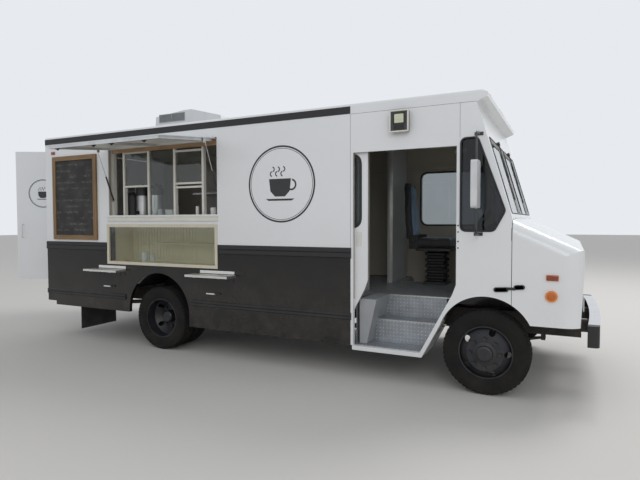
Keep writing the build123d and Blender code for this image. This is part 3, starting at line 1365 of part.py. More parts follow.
def tie_rod():
    """Rod that joins the two steering arms, hung just under their ends."""
    z = AXLE_Z - 122
    parts = [rod_y(-ARM_LENGTH, -KINGPIN_Y, KINGPIN_Y, z, TIE_ROD_R)]
    for side in BOTH_SIDES:
        parts.append(rod_z(-ARM_LENGTH, side * KINGPIN_Y, z - 20, AXLE_Z - 96.5, 18))
    return join(parts)


# Fittings

def front_bumper():
    """Bowed steel bumper, a channel open to the rear with rounded ends."""
    low, high = BUMPER_Z
    x, y, depth = BUMPER_END_X, BUMPER_END_Y, BUMPER_DEPTH
    outer = ThreePointArc((x, -y), (BUMPER_CENTRE_X, 0), (x, y))
    inner = ThreePointArc((x - depth, y), (BUMPER_CENTRE_X - depth, 0), (x - depth, -y))
    plan = closed_face(outer, Line(outer @ 1, inner @ 0), inner, Line(inner @ 1, outer @ 0))
    plan = round_at(plan, (x, y), BUMPER_CORNER_R)
    plan = round_at(plan, (x, -y), BUMPER_CORNER_R)
    solid = upright(plan, low, high)
    wall = BUMPER_WALL
    cavity = upright(Pos(-wall, 0) * plan, low + wall, high - wall)
    cavity = cavity & block(0, 2 * x, -y + wall, y - wall, 0, 2 * high)
    bumper = solid - (cavity + Pos(-depth / 2, 0, 0) * cavity)
    for side in BOTH_SIDES:
        hole_y = side * PLATE_HOLE_SPACING / 2
        bumper = bumper - rod_x(x, x + depth, hole_y, (low + high) / 2, PLATE_HOLE_R)
    return bumper


def roof_unit():
    """Rooftop air conditioner: upright louvred rear, top falling away to the front."""
    rear, front = ROOF_UNIT_X
    top = ROOF_UNIT_TOP_Z
    base = ROOF_EDGE_Z + ROOF_CROWN
    low = base + ROOF_UNIT_GASKET
    profile = outline((rear, low), (rear + 30, top - 55), (rear + 560, top), (rear + 700, top),
                      (front - 60, base + 230), (front, low))
    body = across(profile, -ROOF_UNIT_HALF, ROOF_UNIT_HALF)
    body = fillet(body.edges().filter_by(Axis.X, reverse=True).group_by(Axis.Z)[-1], 20)
    return body + block(rear + 200, front - 200, -180, 180, base + SEAT_GAP, low + 1)


def mirror_arm(side):
    """Tube loop and tall mirror head, carried on two brackets at the quarter window."""
    y_in = side * (HALF + 3)
    y_out = side * MIRROR_Y
    low, high = MIRROR_BRACKETS_Z
    path = [(MIRROR_X, y_in, high), (MIRROR_X, y_out, high), (MIRROR_X, y_out, low), (MIRROR_X, y_in, low)]
    parts = [tube_along(path, MIRROR_TUBE_R, 60)]
    head_y = span(side, MIRROR_Y - MIRROR_HALF, MIRROR_Y + MIRROR_HALF)
    head = block(MIRROR_X - 34, MIRROR_X + 22, *head_y, *MIRROR_Z)
    parts.append(fillet(head.edges().filter_by(Axis.X), 30))
    for z in MIRROR_BRACKETS_Z:
        parts.append(block(MIRROR_X - 50, MIRROR_X + 30, *span(side, HALF, HALF + 6), z - 16, z + 16))
    return join(parts)


def mirrors_and_wipers():
    """Door mirrors on both sides, and two wipers hung over the windscreen."""
    parts = [mirror_arm(side) for side in BOTH_SIDES]
    plane = screen_plane()
    out = plane.z_dir
    for side in BOTH_SIDES:
        start = (plane * Pos(side * 480, SCREEN_PANE[3] + 5, 0)).position
        parts.append(extrude(Plane(origin=start, z_dir=out) * Circle(20), amount=30))
        tip = (plane * Pos(side * 520, 420, 18)).position
        parts.append(rod_between(tuple(start + out * 18), tuple(tip), WIPER_R))
        low = (plane * Pos(side * 510, 180, 14)).position
        high = (plane * Pos(side * 515, 700, 14)).position
        parts.append(rod_between(tuple(low), tuple(high), WIPER_R))
    return join(parts)


def lamps():
    """Clearance lamps, side markers, tail lamps and the work lamp over the cab door."""
    parts = []
    top_z = ROOF_EDGE_Z + ROOF_CROWN
    run, drop = BROW_TIP[0] - BROW_KNEE_X, top_z - BROW_TIP[1]
    x, z = BROW_KNEE_X + run * 0.6, top_z - drop * 0.6
    length, width, height = BROW_LAMP_SIZE
    for y in BROW_LAMPS_Y:
        face = Plane(origin=(x, y, z), x_dir=(0, 1, 0), z_dir=(drop, 0, run))
        parts.append(extrude(face * RectangleRounded(length, width, BROW_LAMP_CORNER_R), amount=height))
    for y in TAIL_MARKERS_Y:
        parts.append(block(REAR_X - 18, REAR_X, y - 35, y + 35, 2737, 2757))
    for side in BOTH_SIDES:
        parts.append(block(-6035, -5990, *span(side, HALF, HALF + 16), 2632, 2652))
        for z in TAIL_LAMPS_Z:
            parts.append(rod_x(REAR_X - 20, REAR_X, side * TAIL_LAMP_Y, z, TAIL_LAMP_R))
    low, high = WORK_LAMP_Z
    box = block(*WORK_LAMP_X, -HALF - 70, -HALF - 10, low, high)
    middle = sum(WORK_LAMP_X) / 2
    parts.append(box + block(middle - 20, middle + 20, -HALF - 11, -HALF, low + 65, high - 76))
    return Compound(children=parts)


def rubber_trim():
    """Black roof band, rub rails, and the mud flaps behind the twin wheels."""
    parts = []
    band_z = (WALL_TOP_Z + 4, ROOF_EDGE_Z - ROOF_EDGE_R)
    lip = HALF + RUB_RAIL_OUT
    for side in BOTH_SIDES:
        parts.append(block(REAR_X, BAND_FRONT_X, *span(side, HALF, HALF + BAND_WALL), *band_z))
        for x0, x1, z0, z1 in RUB_RAILS[side]:
            height = z1 - z0
            groove = (HALF + 6, z0 + height / 2)
            profile = outline((HALF, z0), (lip, z0 + 10), (lip, z0 + height * 0.4), groove,
                              (lip, z0 + height * 0.6), (lip, z1 - 10), (HALF, z1))
            rail = along(profile, x0, x1)
            if side == RIGHT:
                rail = mirror(rail, about=Plane.XZ)
            parts.append(rail)
        parts.append(block(FLAP_X, FLAP_X + FLAP_WALL, *span(side, *FLAP_Y), FLAP_LOW_Z, FLOOR_LOW_Z))
    return Compound(children=parts)


def driver_seat():
    """High-backed driver's seat on its pedestal, on the left of the cab."""
    x, y, z = SEAT_X, SEAT_Y, FLOOR_Z
    base = block(x - 150, x + 150, y - 150, y + 150, z, z + SEAT_BASE_HEIGHT)
    base = fillet(base.edges().filter_by(Axis.Z), 30)
    cushion = block(x - 240, x + 260, y - 245, y + 245, z + SEAT_BASE_HEIGHT, z + SEAT_HEIGHT)
    cushion = fillet(cushion.edges().filter_by(Axis.Z), 60)
    cushion = fillet(cushion.edges().group_by(Axis.Z)[-1], 40)
    low, high = z + SEAT_HEIGHT - 50, z + SEAT_BACK_HEIGHT
    back = outline((x - 360, low), (x - 250, low), (x - 330, high), (x - 430, high))
    back = across(rounded(back, 40), y - 235, y + 235)
    link = block(x - 300, x - 200, y - 180, y + 180, low - 40, low + 10)
    return join([base, cushion, back, link])


def dashboard():
    """Dash across the cab, with the instrument hood, column and steering wheel on the left."""
    wall_x = SEAM_X - SCREEN_WALL
    low, high = DASH_Z
    brow = (-60, high - 80)
    profile = outline((wall_x, low), (20, low), (-60, low + 120), brow, (60, high), (wall_x, high))
    dash = across(round_at(profile, brow, 40), -IN + 70, IN - 70)
    start = (-20, SEAT_Y, low + 80)
    end = (-330, SEAT_Y, low + 300)
    plane = Plane(origin=end, z_dir=Vector(*end) - Vector(*start))
    parts = [dash, rod_between(start, end, 28), plane * Torus(STEERING_WHEEL_R, 15)]
    for turn in (0, 120, 240):
        spoke = Pos(STEERING_WHEEL_R / 2, 0, 0) * Box(STEERING_WHEEL_R, 34, 14)
        parts.append(plane * (Rot(0, 0, turn) * spoke))
    return join(parts)


def interior_fitout():
    """Bulkhead behind the cab, serving counter, left-hand counter, wall shelf and the two urns."""
    half = DOOR_PLANE_IN - MOVING_GAP
    near, far, door_top = BULKHEAD_DOOR
    frame = rect(-half, half, FLOOR_Z, CEILING_Z) - rect(near, far, FLOOR_Z - 1, door_top)
    parts = [along(frame, *BULKHEAD_X)]
    rear, front = COUNTER_X
    inner = COUNTER_IN - COUNTER_WALL
    deck_z = SERVE_BOTTOM_Z - SERVE_SILL
    low_z = deck_z - DECK_WALL
    parts.append(block(rear, front, SERVE_FRAME_Y[1], COUNTER_IN + COUNTER_WALL, low_z, deck_z))
    parts.append(block(rear, front, inner, COUNTER_IN, FLOOR_Z, low_z))
    for x in (rear, front - COUNTER_WALL):
        parts.append(block(x, x + COUNTER_WALL, -IN, inner, FLOOR_Z, low_z))
    wheel_box = across(rear_arch(LINER_WALL + SEAT_GAP), WHEEL_BOX_IN - LINER_WALL - SEAT_GAP, HALF)
    rear, front = LEFT_COUNTER_X
    inner = LEFT_COUNTER_IN
    left = block(rear, front, inner, IN, FLOOR_Z + KICK_HEIGHT, LEFT_COUNTER_Z)
    low, high = FLOOR_Z + KICK_HEIGHT + 30, LEFT_COUNTER_Z - 40
    left = left - block(rear + 30, front - 30, inner - 20, IN - 30, low, high)
    left = left + block(rear - 20, front + 20, inner - 30, IN, LEFT_COUNTER_Z, LEFT_COUNTER_Z + 40)
    left = left + block(rear + 40, front - 40, inner + 60, IN, FLOOR_Z, FLOOR_Z + KICK_HEIGHT)
    parts.append(left - wheel_box)
    parts.append(block(*LEFT_SHELF_X, LEFT_SHELF_IN, IN, LEFT_SHELF_Z, LEFT_SHELF_Z + 30))
    r, top = URN_R, URN_HEIGHT
    shape = outline((0, 0), (r + 13, 0), (r + 13, 20), (r, 30), (r, top - 90), (r + 6, top - 80),
                    (r + 6, top - 30), (r - 32, top), (0, top))
    urn = revolve(Plane.XZ * shape, axis=Axis.Z)
    for x in URNS_X:
        parts.append(Pos(x, URN_Y, deck_z) * urn)
    return Compound(children=parts)


def centre(nodes):
    """X and Y of the middle of everything, where the origin goes."""
    boxes = [shape.bounding_box() for shape in nodes.values()]
    x = (min(box.min.X for box in boxes) + max(box.max.X for box in boxes)) / 2
    y = (min(box.min.Y for box in boxes) + max(box.max.Y for box in boxes)) / 2
    return x, y


def make_nodes():
    """Every sub-part under its name, still with the front axle at X = 0."""
    rear_strut, front_strut = strut_places()
    nodes = {
        "frame_chassis": frame_chassis(),
        "engine_and_driveline": engine_and_driveline(),
        "axles_and_springs": axles_and_springs(),
        "body_floor": body_floor(),
        "side_wall_right": side_wall_right(),
        "side_wall_left": side_wall_left(),
        "roof_shell": roof_shell(),
        "rear_wall": rear_wall(),
        "cab_front": cab_front(),
        "fixed_glass": fixed_glass(),
        "cab_steps": cab_steps(),
        "rubber_trim": rubber_trim(),
        "front_bumper": front_bumper(),
        "roof_unit": roof_unit(),
        "serving_window": serving_window(),
        "display_case": display_case(),
        "menu_board": menu_board(),
        "mirrors_and_wipers": mirrors_and_wipers(),
        "lamps": lamps(),
        "driver_seat": driver_seat(),
        "dashboard": dashboard(),
        "interior_fitout": interior_fitout(),
        "hood_shell": hood_shell(),
        "hood_front": hood_front(),
        "serving_hatch": serving_hatch(),
        "strut_barrel_rear": strut_barrel(rear_strut),
        "strut_barrel_front": strut_barrel(front_strut),
        "strut_rod_rear": strut_rod(rear_strut),
        "strut_rod_front": strut_rod(front_strut),
        "tie_rod": tie_rod(),
    }
    for name in SHELVES:
        nodes["fold_shelf_" + name] = fold_shelf(name)
    rim = front_rim()
    tyre = tyre_ring()
    twin = rear_rims()
    twin_tyres = rear_tyres()
    knuckle = steering_knuckle()
    for word, side in (("right", RIGHT), ("left", LEFT)):
        nodes["cab_door_" + word] = cab_door(side)
        nodes["cab_door_glass_" + word] = cab_door_glass(side)
        nodes["rear_door_" + word] = rear_door(side)
        nodes["front_knuckle_" + word] = place_wheel(knuckle, 0, side, TRACK_HALF)
        nodes["front_rim_" + word] = place_wheel(rim, 0, side, TRACK_HALF)
        nodes["front_tyre_" + word] = place_wheel(tyre, 0, side, TRACK_HALF)
        nodes["rear_rims_" + word] = place_wheel(twin, REAR_AXLE_X, side, DUAL_FACE_Y)
        nodes["rear_tyres_" + word] = place_wheel(twin_tyres, REAR_AXLE_X, side, DUAL_FACE_Y)
    return nodes


def main():
    os.makedirs("parts", exist_ok=True)
    nodes = make_nodes()
    x, y = centre(nodes)
    for name, shape in nodes.items():
        export_step(Pos(-x, -y, 0) * shape, f"parts/{name}.step")
    print("origin at", round(x, 3), round(y, 3))


if __name__ == "__main__":
    main()
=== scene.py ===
# %% [markdown]
# # A walk-in van turned into a coffee truck
# The truck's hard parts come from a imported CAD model, which stays exactly as it is. Here it gets its
# finishes, and the small things that a CAD model leaves plain: tread, seals, louvres, trim and a seat.
# Everything is in metres, with X forward, Y to the truck's left and Z up.

# %% Load the truck
import math
import bmesh
import bpy
import numpy as np
from mathutils import Matrix, Vector


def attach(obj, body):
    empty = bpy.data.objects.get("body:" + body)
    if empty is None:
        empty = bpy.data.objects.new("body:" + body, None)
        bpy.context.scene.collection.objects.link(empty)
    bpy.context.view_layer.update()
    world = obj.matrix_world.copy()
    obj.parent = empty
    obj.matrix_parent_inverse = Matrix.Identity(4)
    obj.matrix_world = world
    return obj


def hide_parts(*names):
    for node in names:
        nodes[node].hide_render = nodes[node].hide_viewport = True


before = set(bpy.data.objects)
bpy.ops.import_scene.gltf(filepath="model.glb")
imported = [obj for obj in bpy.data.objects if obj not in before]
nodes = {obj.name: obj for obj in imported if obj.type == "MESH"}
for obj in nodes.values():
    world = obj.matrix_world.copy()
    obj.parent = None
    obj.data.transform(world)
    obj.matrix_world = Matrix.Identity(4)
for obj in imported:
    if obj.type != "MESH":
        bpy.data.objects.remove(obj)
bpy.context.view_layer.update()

# %% [markdown]
# The truck's drawing measures in millimetres from the middle of the front axle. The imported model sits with
# the middle of its box over the origin. One small helper turns a drawing point into a scene point, so that
# every piece below can be placed with the drawing's own numbers.

# %% Drawing points
FRONT_AXLE = Vector((2.960663, 0.311971, 0.0))
RIGHT, LEFT = -1, 1
SIDES = ((RIGHT, "right"), (LEFT, "left"))
SIDE_Y = 1200


def at(x, y, z):
    return FRONT_AXLE + Vector((x, y, z)) / 1000


print("rear corner of the box at", [round(v, 3) for v in at(-6180, -1200, 510)])

# %% [markdown]
# ## Camera
# The photograph was taken off the right front corner, at eye height, with a wide lens. The camera's place,
# its turn and its focal length were worked out from corners of the body whose real position is known. The
# focal length came out in pixels of the photograph, so it is turned into millimetres of film here.

# %% Camera
FOCAL_PIXELS, PHOTO_WIDTH, FILM_WIDTH = 507.7, 640, 36
CAMERA_EYE = (3.6677, -5.8, 1.656)
CAMERA_TURN, CAMERA_DIP, CAMERA_ROLL = 26.25, 2.14, -0.17
camera_data = bpy.data.cameras.new("photo_lens")
camera_data.sensor_width = FILM_WIDTH
camera_data.lens = FOCAL_PIXELS / PHOTO_WIDTH * FILM_WIDTH
camera = bpy.data.objects.new("photo_camera", camera_data)
bpy.context.scene.collection.objects.link(camera)
turn = Matrix.Rotation(math.radians(CAMERA_TURN), 4, "Z")
turn = turn @ Matrix.Rotation(math.radians(90 - CAMERA_DIP), 4, "X")
turn = turn @ Matrix.Rotation(math.radians(CAMERA_ROLL), 4, "Z")
camera.matrix_world = Matrix.Translation(CAMERA_EYE) @ turn
bpy.context.scene.camera = camera
print("lens", round(camera_data.lens, 2), "mm")

# %% [markdown]
# ## Studio
# A plain pale floor runs up to the horizon, and a pale sky closes it. The world gives soft light from all
# round at about the level at which a colour renders as it is written. One broad lamp high on the left adds
# a soft direction, and a weak one from the camera's side opens the shade. The sky looks brighter than it
# shines: only rays that come from the camera, a mirror or a pane see the brighter level.

# %% Floor and sky
SKY_SHINES, SKY_LOOKS = 0.66, 0.86


def studio_floor(size):
    bm = bmesh.new()
    bmesh.ops.create_grid(bm, x_segments=8, y_segments=8, size=size)
    mesh = bpy.data.meshes.new("studio_floor")
    bm.to_mesh(mesh)
    bm.free()
    floor = bpy.data.objects.new("studio_floor", mesh)
    bpy.context.scene.collection.objects.link(floor)
    paint = bpy.data.materials.new("studio_floor_paint")
    paint.use_nodes = True
    shader = paint.node_tree.nodes["Principled BSDF"]
    shader.inputs["Base Color"].default_value = (0.62, 0.60, 0.57, 1)
    shader.inputs["Roughness"].default_value = 0.9
    mesh.materials.append(paint)
    return floor


floor = studio_floor(60)
world = bpy.data.worlds.new("studio_sky")
bpy.context.scene.world = world
world.use_nodes = True
sky = world.node_tree.nodes["Background"]
sky.inputs["Color"].default_value = (0.93, 0.96, 1.0, 1)
rays = world.node_tree.nodes.new("ShaderNodeLightPath")
seen, shown = (world.node_tree.nodes.new("ShaderNodeMath") for _ in range(2))
seen.operation = shown.operation = "MAXIMUM"
strength = world.node_tree.nodes.new("ShaderNodeMapRange")
strength.inputs["To Min"].default_value = SKY_SHINES
strength.inputs["To Max"].default_value = SKY_LOOKS
world.node_tree.links.new(rays.outputs["Is Camera Ray"], seen.inputs[0])
world.node_tree.links.new(rays.outputs["Is Transmission Ray"], seen.inputs[1])
world.node_tree.links.new(seen.outputs[0], shown.inputs[0])
world.node_tree.links.new(rays.outputs["Is Glossy Ray"], shown.inputs[1])
world.node_tree.links.new(shown.outputs[0], strength.inputs["Value"])
world.node_tree.links.new(strength.outputs[0], sky.inputs["Strength"])
print("floor", floor.name)

# %% [markdown]
# Both lamps are wide discs, so their shadows are soft. A small helper aims each one at a point, which is
# easier to read than three angles. Their watts were brought down until the white sides kept their shade.

# %% Lamps
def studio_lamp(name, place, aim, size, watts):
    data = bpy.data.lights.new(name, "AREA")
    data.shape = "DISK"
    data.size = size
    data.energy = watts
    lamp = bpy.data.objects.new(name, data)
    bpy.context.scene.collection.objects.link(lamp)
    lamp.location = place
    lamp.rotation_euler = (Vector(aim) - Vector(place)).to_track_quat("-Z", "Y").to_euler()
    return lamp


studio_lamp("high_lamp", (6, 7, 12), (0, 0, 1), 6, 820)
studio_lamp("near_lamp", (7, -12, 7), (0, 0, 1.4), 7, 280)
bpy.context.scene.view_settings.view_transform = "Standard"
print("two lamps")

# %% [markdown]
# ## How finishes are built here
# Each finish is one Principled shader. Its main numbers are set straight on the shader, and node groups
# add what changes over the surface: dust, grain, ripple. All of them read the Object coordinate, because
# it stays fixed to a piece when the piece moves with its joint.

# %% Finish helpers
def new_finish(name, color, roughness, **plain):
    made = bpy.data.materials.new(name)
    made.use_nodes = True
    tree = made.node_tree
    shader = tree.nodes["Principled BSDF"]
    shader.inputs["Base Color"].default_value = (*color, 1)
    shader.inputs["Roughness"].default_value = roughness
    for socket, value in plain.items():
        shader.inputs[socket.replace("_", " ")].default_value = value
    place = tree.nodes.new("ShaderNodeTexCoord").outputs["Object"]
    return made, tree, shader, place


def feed(tree, socket, value):
    if isinstance(value, bpy.types.NodeSocket):
        tree.links.new(value, socket)
    else:
        socket.default_value = value


def use(tree, group, **values):
    node = tree.nodes.new("ShaderNodeGroup")
    node.node_tree = bpy.data.node_groups[group]
    for name, value in values.items():
        feed(tree, node.inputs[name], value)
    return node.outputs


def blend_color(tree, share, first, second):
    node = tree.nodes.new("ShaderNodeMix")
    node.data_type = "RGBA"
    feed(tree, node.inputs[0], share)
    for socket, value in ((node.inputs[6], first), (node.inputs[7], second)):
        feed(tree, socket, value if isinstance(value, bpy.types.NodeSocket) else (*value, 1))
    return node.outputs[2]


def math_node(tree, operation, *values):
    node = tree.nodes.new("ShaderNodeMath")
    node.operation = operation
    for socket, value in zip(node.inputs, values):
        feed(tree, socket, value)
    return node.outputs[0]


def vector_node(tree, operation, *values):
    node = tree.nodes.new("ShaderNodeVectorMath")
    node.operation = operation
    for socket, value in zip(node.inputs, values):
        feed(tree, socket, value)
    return node.outputs[0]


def raise_surface(tree, shader, height, distance, strength=1.0):
    node = tree.nodes.new("ShaderNodeBump")
    node.inputs["Strength"].default_value = strength
    node.inputs["Distance"].default_value = distance
    tree.links.new(height, node.inputs["Height"])
    tree.links.new(node.outputs["Normal"], shader.inputs["Normal"])


def new_group(name, inputs, outputs):
    group = bpy.data.node_groups.new(name, "ShaderNodeTree")
    for label, kind, value in inputs:
        socket = group.interface.new_socket(label, in_out="INPUT", socket_type="NodeSocket" + kind)
        if value is not None:
            socket.default_value = value
    for label in outputs:
        group.interface.new_socket(label, in_out="OUTPUT", socket_type="NodeSocketFloat")
    ins = group.nodes.new("NodeGroupInput").outputs
    outs = group.nodes.new("NodeGroupOutput").inputs
    return group, ins, outs


def noise(tree, place, scale, detail=4.0, rough=0.55):
    node = tree.nodes.new("ShaderNodeTexNoise")
    for name, value in (("Vector", place), ("Scale", scale), ("Detail", detail), ("Roughness", rough)):
        feed(tree, node.inputs[name], value)
    return node.outputs[0]


def ramp(tree, value, low, high):
    node = tree.nodes.new("ShaderNodeMapRange")
    for name, number in (("Value", value), ("From Min", low), ("From Max", high)):
        feed(tree, node.inputs[name], number)
    return node.outputs[0]


print("finish helpers ready")

# %% [markdown]
# Road dust settles low and breaks up in patches. The group fades from the ground up to a given reach, and
# multiplies that by a soft noise, so no two panels are alike.

# %% Road dust
group, ins, outs = new_group(
    "Road Dust", [("Place", "Vector", None), ("Reach", "Float", 1.0), ("Amount", "Float", 0.5)], ["Mask"])
height = group.nodes.new("ShaderNodeSeparateXYZ")
group.links.new(ins["Place"], height.inputs[0])
low_down = ramp(group, height.outputs["Z"], ins["Reach"], 0.0)
patches = ramp(group, noise(group, ins["Place"], 5.0, 8.0, 0.65), 0.35, 0.70)
mask = math_node(group, "MULTIPLY", math_node(group, "MULTIPLY", low_down, patches), ins["Amount"])
group.links.new(mask, outs["Mask"])
print("Road Dust")

# %% [markdown]
# Grain is a fine noise: cast metal, moulded plastic and powder coat all have some. Ripple is a slow, broad
# one, the waviness that shows in any large sheet panel's reflections.

# %% Grain and ripple
group, ins, outs = new_group(
    "Fine Grain", [("Place", "Vector", None), ("Scale", "Float", 400.0)], ["Height", "Patch"])
group.links.new(noise(group, ins["Place"], ins["Scale"], 3.0), outs["Height"])
slow = math_node(group, "MULTIPLY", ins["Scale"], 0.02)
group.links.new(ramp(group, noise(group, ins["Place"], slow, 6.0, 0.6), 0.3, 0.7), outs["Patch"])

group, ins, outs = new_group(
    "Sheet Ripple", [("Place", "Vector", None), ("Scale", "Float", 2.2)], ["Height"])
group.links.new(noise(group, ins["Place"], ins["Scale"], 1.0, 0.4), outs["Height"])
print("Fine Grain, Sheet Ripple")

# %% [markdown]
# Brushed and drawn metal has lines in one direction. The group stretches its coordinates along the
# direction of the lines before it reads a noise, and gives a height and a slow patch.

# %% Drawn lines
group, ins, outs = new_group(
    "Drawn Lines", [("Place", "Vector", None), ("Stretch", "Vector", (4.0, 300.0, 300.0))],
    ["Height", "Patch"])
lines = vector_node(group, "MULTIPLY", ins["Place"], ins["Stretch"])
group.links.new(noise(group, lines, 1.0, 3.0), outs["Height"])
group.links.new(ramp(group, noise(group, ins["Place"], 7.0, 5.0, 0.6), 0.3, 0.7), outs["Patch"])
print("Drawn Lines")

# %% [markdown]
# Several nodes carry two paints: the body sides are white over black film, and the lamps have lenses of
# three colours. The zone group is 1 inside a box given by its centre and its half size, and 0 outside.

# %% Zone
group, ins, outs = new_group(
    "Zone", [("Place", "Vector", None), ("Centre", "Vector", None), ("Half", "Vector", None)], ["Mask"])
away = vector_node(group, "ABSOLUTE", vector_node(group, "SUBTRACT", ins["Place"], ins["Centre"]))
beyond = group.nodes.new("ShaderNodeSeparateXYZ")
group.links.new(vector_node(group, "SUBTRACT", away, ins["Half"]), beyond.inputs[0])
worst = math_node(group, "MAXIMUM", beyond.outputs["X"], beyond.outputs["Y"])
worst = math_node(group, "MAXIMUM", worst, beyond.outputs["Z"])
group.links.new(math_node(group, "LESS_THAN", worst, 0.0), outs["Mask"])


def zone(tree, place, low, high):
    low, high = at(*low), at(*high)
    return use(tree, "Zone", Place=place, Centre=(low + high) / 2, Half=(high - low) / 2)["Mask"]


def any_of(tree, masks):
    whole = masks[0]
    for mask in masks[1:]:
        whole = math_node(tree, "MAXIMUM", whole, mask)
    return whole


print("Zone")

# %% [markdown]
# Tread plate has raised lozenges that lie along and across in turn. Each cell of a square grid holds one,
# and a chequer of the cell numbers decides which way it lies.

# %% Tread plate
group, ins, outs = new_group(
    "Tread Plate", [("Place", "Vector", None), ("Cells", "Float", 28.0)], ["Height"])
spread = group.nodes.new("ShaderNodeVectorMath")
spread.operation = "SCALE"
group.links.new(ins["Place"], spread.inputs[0])
group.links.new(ins["Cells"], spread.inputs["Scale"])
inner = group.nodes.new("ShaderNodeSeparateXYZ")
group.links.new(vector_node(group, "FRACTION", spread.outputs[0]), inner.inputs[0])
number = group.nodes.new("ShaderNodeSeparateXYZ")
group.links.new(vector_node(group, "FLOOR", spread.outputs[0]), number.inputs[0])
u = math_node(group, "ABSOLUTE", math_node(group, "SUBTRACT", inner.outputs["X"], 0.5))
v = math_node(group, "ABSOLUTE", math_node(group, "SUBTRACT", inner.outputs["Y"], 0.5))
odd = math_node(group, "PINGPONG", math_node(group, "ADD", number.outputs["X"], number.outputs["Y"]), 1.0)
long_u = math_node(group, "ADD", math_node(group, "MULTIPLY", u, 2.2), math_node(group, "MULTIPLY", v, 7.0))
long_v = math_node(group, "ADD", math_node(group, "MULTIPLY", u, 7.0), math_node(group, "MULTIPLY", v, 2.2))
pick = group.nodes.new("ShaderNodeMix")
group.links.new(odd, pick.inputs[0])
group.links.new(long_u, pick.inputs[2])
group.links.new(long_v, pick.inputs[3])
group.links.new(ramp(group, pick.outputs[0], 1.0, 0.6), outs["Height"])
print("Tread Plate")

# %% [markdown]
# ## Body paint and black film
# The box and the cab are white gloss enamel. Below the upper rub rail the box wears a black gloss film, and
# towards the bottom the film turns brown, from settled dust and from a painted reflection of the ground. One
# material does both, with the zone group choosing, because paint and film lie on the same sheet. The coat
# stays even, and only colour and roughness change.
# Two more zones of the same kind hold the beige lining inside the body and a near-black painted shade in the
# wheel housings, so the sheet's outside and inside can differ.

# %% Body enamel
WHITE = (0.80, 0.81, 0.82)
FILM_BLACK = (0.010, 0.009, 0.009)
DUST = (0.34, 0.27, 0.20)
FILM = ((-6200, -1300, 300), (-1360, 1300, 1375))
LINING = (0.42, 0.38, 0.32)
LINED_SPACE = ((-6130, -1190, 835), (-110, 1190, 2818))
LINED_DOORWAY = ((-1400, -1140, 300), (-250, 1140, 2900))
# near black for the wheel housings: painted shade
HOUSING_SHADE_BLACK = (0.020, 0.019, 0.018)
WHEEL_HOUSINGS = (((-480, -1100, 400), (520, 1100, 935)), ((-4620, -1100, 400), (-3460, 1100, 1000)))


def body_enamel(name, film_boxes=(), reach=1.3, dust=0.35, lined=None):
    made, tree, shader, place = new_finish(name, WHITE, 0.22, Coat_Weight=0.3, Coat_Roughness=0.06,
                                           Specular_IOR_Level=0.4)
    dusty = use(tree, "Road Dust", Place=place, Reach=reach, Amount=dust)["Mask"]
    faint = ramp(tree, noise(tree, place, 1.3, 6.0, 0.6), 0.25, 0.75)
    color = blend_color(tree, faint, WHITE, tuple(c * 0.955 for c in WHITE))
    gloss = math_node(tree, "MULTIPLY_ADD", dusty, 0.5, 0.22)
    if film_boxes:
        film = any_of(tree, [zone(tree, place, *box) for box in film_boxes])
        # brown on the film towards the bottom: settled dust and a painted reflection of the ground
        dust_and_ground_reflection = use(tree, "Road Dust", Place=place, Reach=1.3, Amount=0.03)["Mask"]
        black = blend_color(tree, dust_and_ground_reflection, FILM_BLACK, DUST)
        color = blend_color(tree, film, color, black)
        gloss = math_node(tree, "SUBTRACT", gloss, math_node(tree, "MULTIPLY", film, 0.10))
    color = blend_color(tree, math_node(tree, "MULTIPLY", dusty, 0.3), color, DUST)
    if lined:
        color = blend_color(tree, zone(tree, place, *lined), color, LINING)
    # the wheel housings are painted near black as painted shade
    painted_housing_shade = any_of(tree, [zone(tree, place, *box) for box in WHEEL_HOUSINGS])
    color = blend_color(tree, painted_housing_shade, color, HOUSING_SHADE_BLACK)
    tree.links.new(color, shader.inputs["Base Color"])
    tree.links.new(gloss, shader.inputs["Roughness"])
    ripple = use(tree, "Sheet Ripple", Place=place, Scale=2.6)["Height"]
    raise_surface(tree, shader, ripple, 0.010, 0.35)
    return made


white_enamel = body_enamel("white_enamel")
door_enamel = body_enamel("door_enamel", lined=LINED_DOORWAY)
side_enamel = body_enamel("side_enamel", [FILM], lined=LINED_SPACE)
roof_enamel = body_enamel("roof_enamel", reach=0.1, dust=0.0, lined=LINED_SPACE)
print("film up to", FILM[1][2], "mm")

# %% [markdown]
# The rubber rails, the roof band, the mud flaps and the seals are black rubber: matt, greyed a little by
# sun, with dust in the grain.

# %% Rubber and plastic
def moulded(name, color, roughness, grain=500.0, depth=0.0008, reach=1.0, dust=0.3, **plain):
    made, tree, shader, place = new_finish(name, color, roughness, **plain)
    fine = use(tree, "Fine Grain", Place=place, Scale=grain)
    dusty = use(tree, "Road Dust", Place=place, Reach=reach, Amount=dust)["Mask"]
    shade = math_node(tree, "MULTIPLY", fine["Patch"], 0.35)
    color_now = blend_color(tree, shade, color, tuple(min(1.0, c * 1.25 + 0.012) for c in color))
    tree.links.new(blend_color(tree, dusty, color_now, DUST), shader.inputs["Base Color"])
    tree.links.new(math_node(tree, "MULTIPLY_ADD", fine["Patch"], 0.15, roughness - 0.05),
                   shader.inputs["Roughness"])
    raise_surface(tree, shader, fine["Height"], depth, 0.5)
    return made


black_rubber = moulded("black_rubber", (0.016, 0.016, 0.017), 0.55, 260.0, 0.0015, 1.3, 0.10)
tyre_rubber = moulded("tyre_rubber", (0.007, 0.007, 0.007), 0.85, 180.0, 0.002, 1.3, 0.06,
                      Specular_IOR_Level=0.25)
black_plastic = moulded("black_plastic", (0.018, 0.018, 0.019), 0.42)
dash_plastic = moulded("dash_plastic", (0.060, 0.062, 0.068), 0.55, 700.0, 0.001, 1.0, 0.05)
clean_white_plastic = moulded("clean_white_plastic", (0.76, 0.76, 0.74), 0.38, 500.0, 0.0005, 0.1, 0.0)
print("rubber, plastics")

# %% [markdown]
# The chassis, axles and engine are iron painted black long ago: rough, dusty, with rust breaking through
# in patches. The patch mask mixes in rust, and the rust is rougher than the paint.

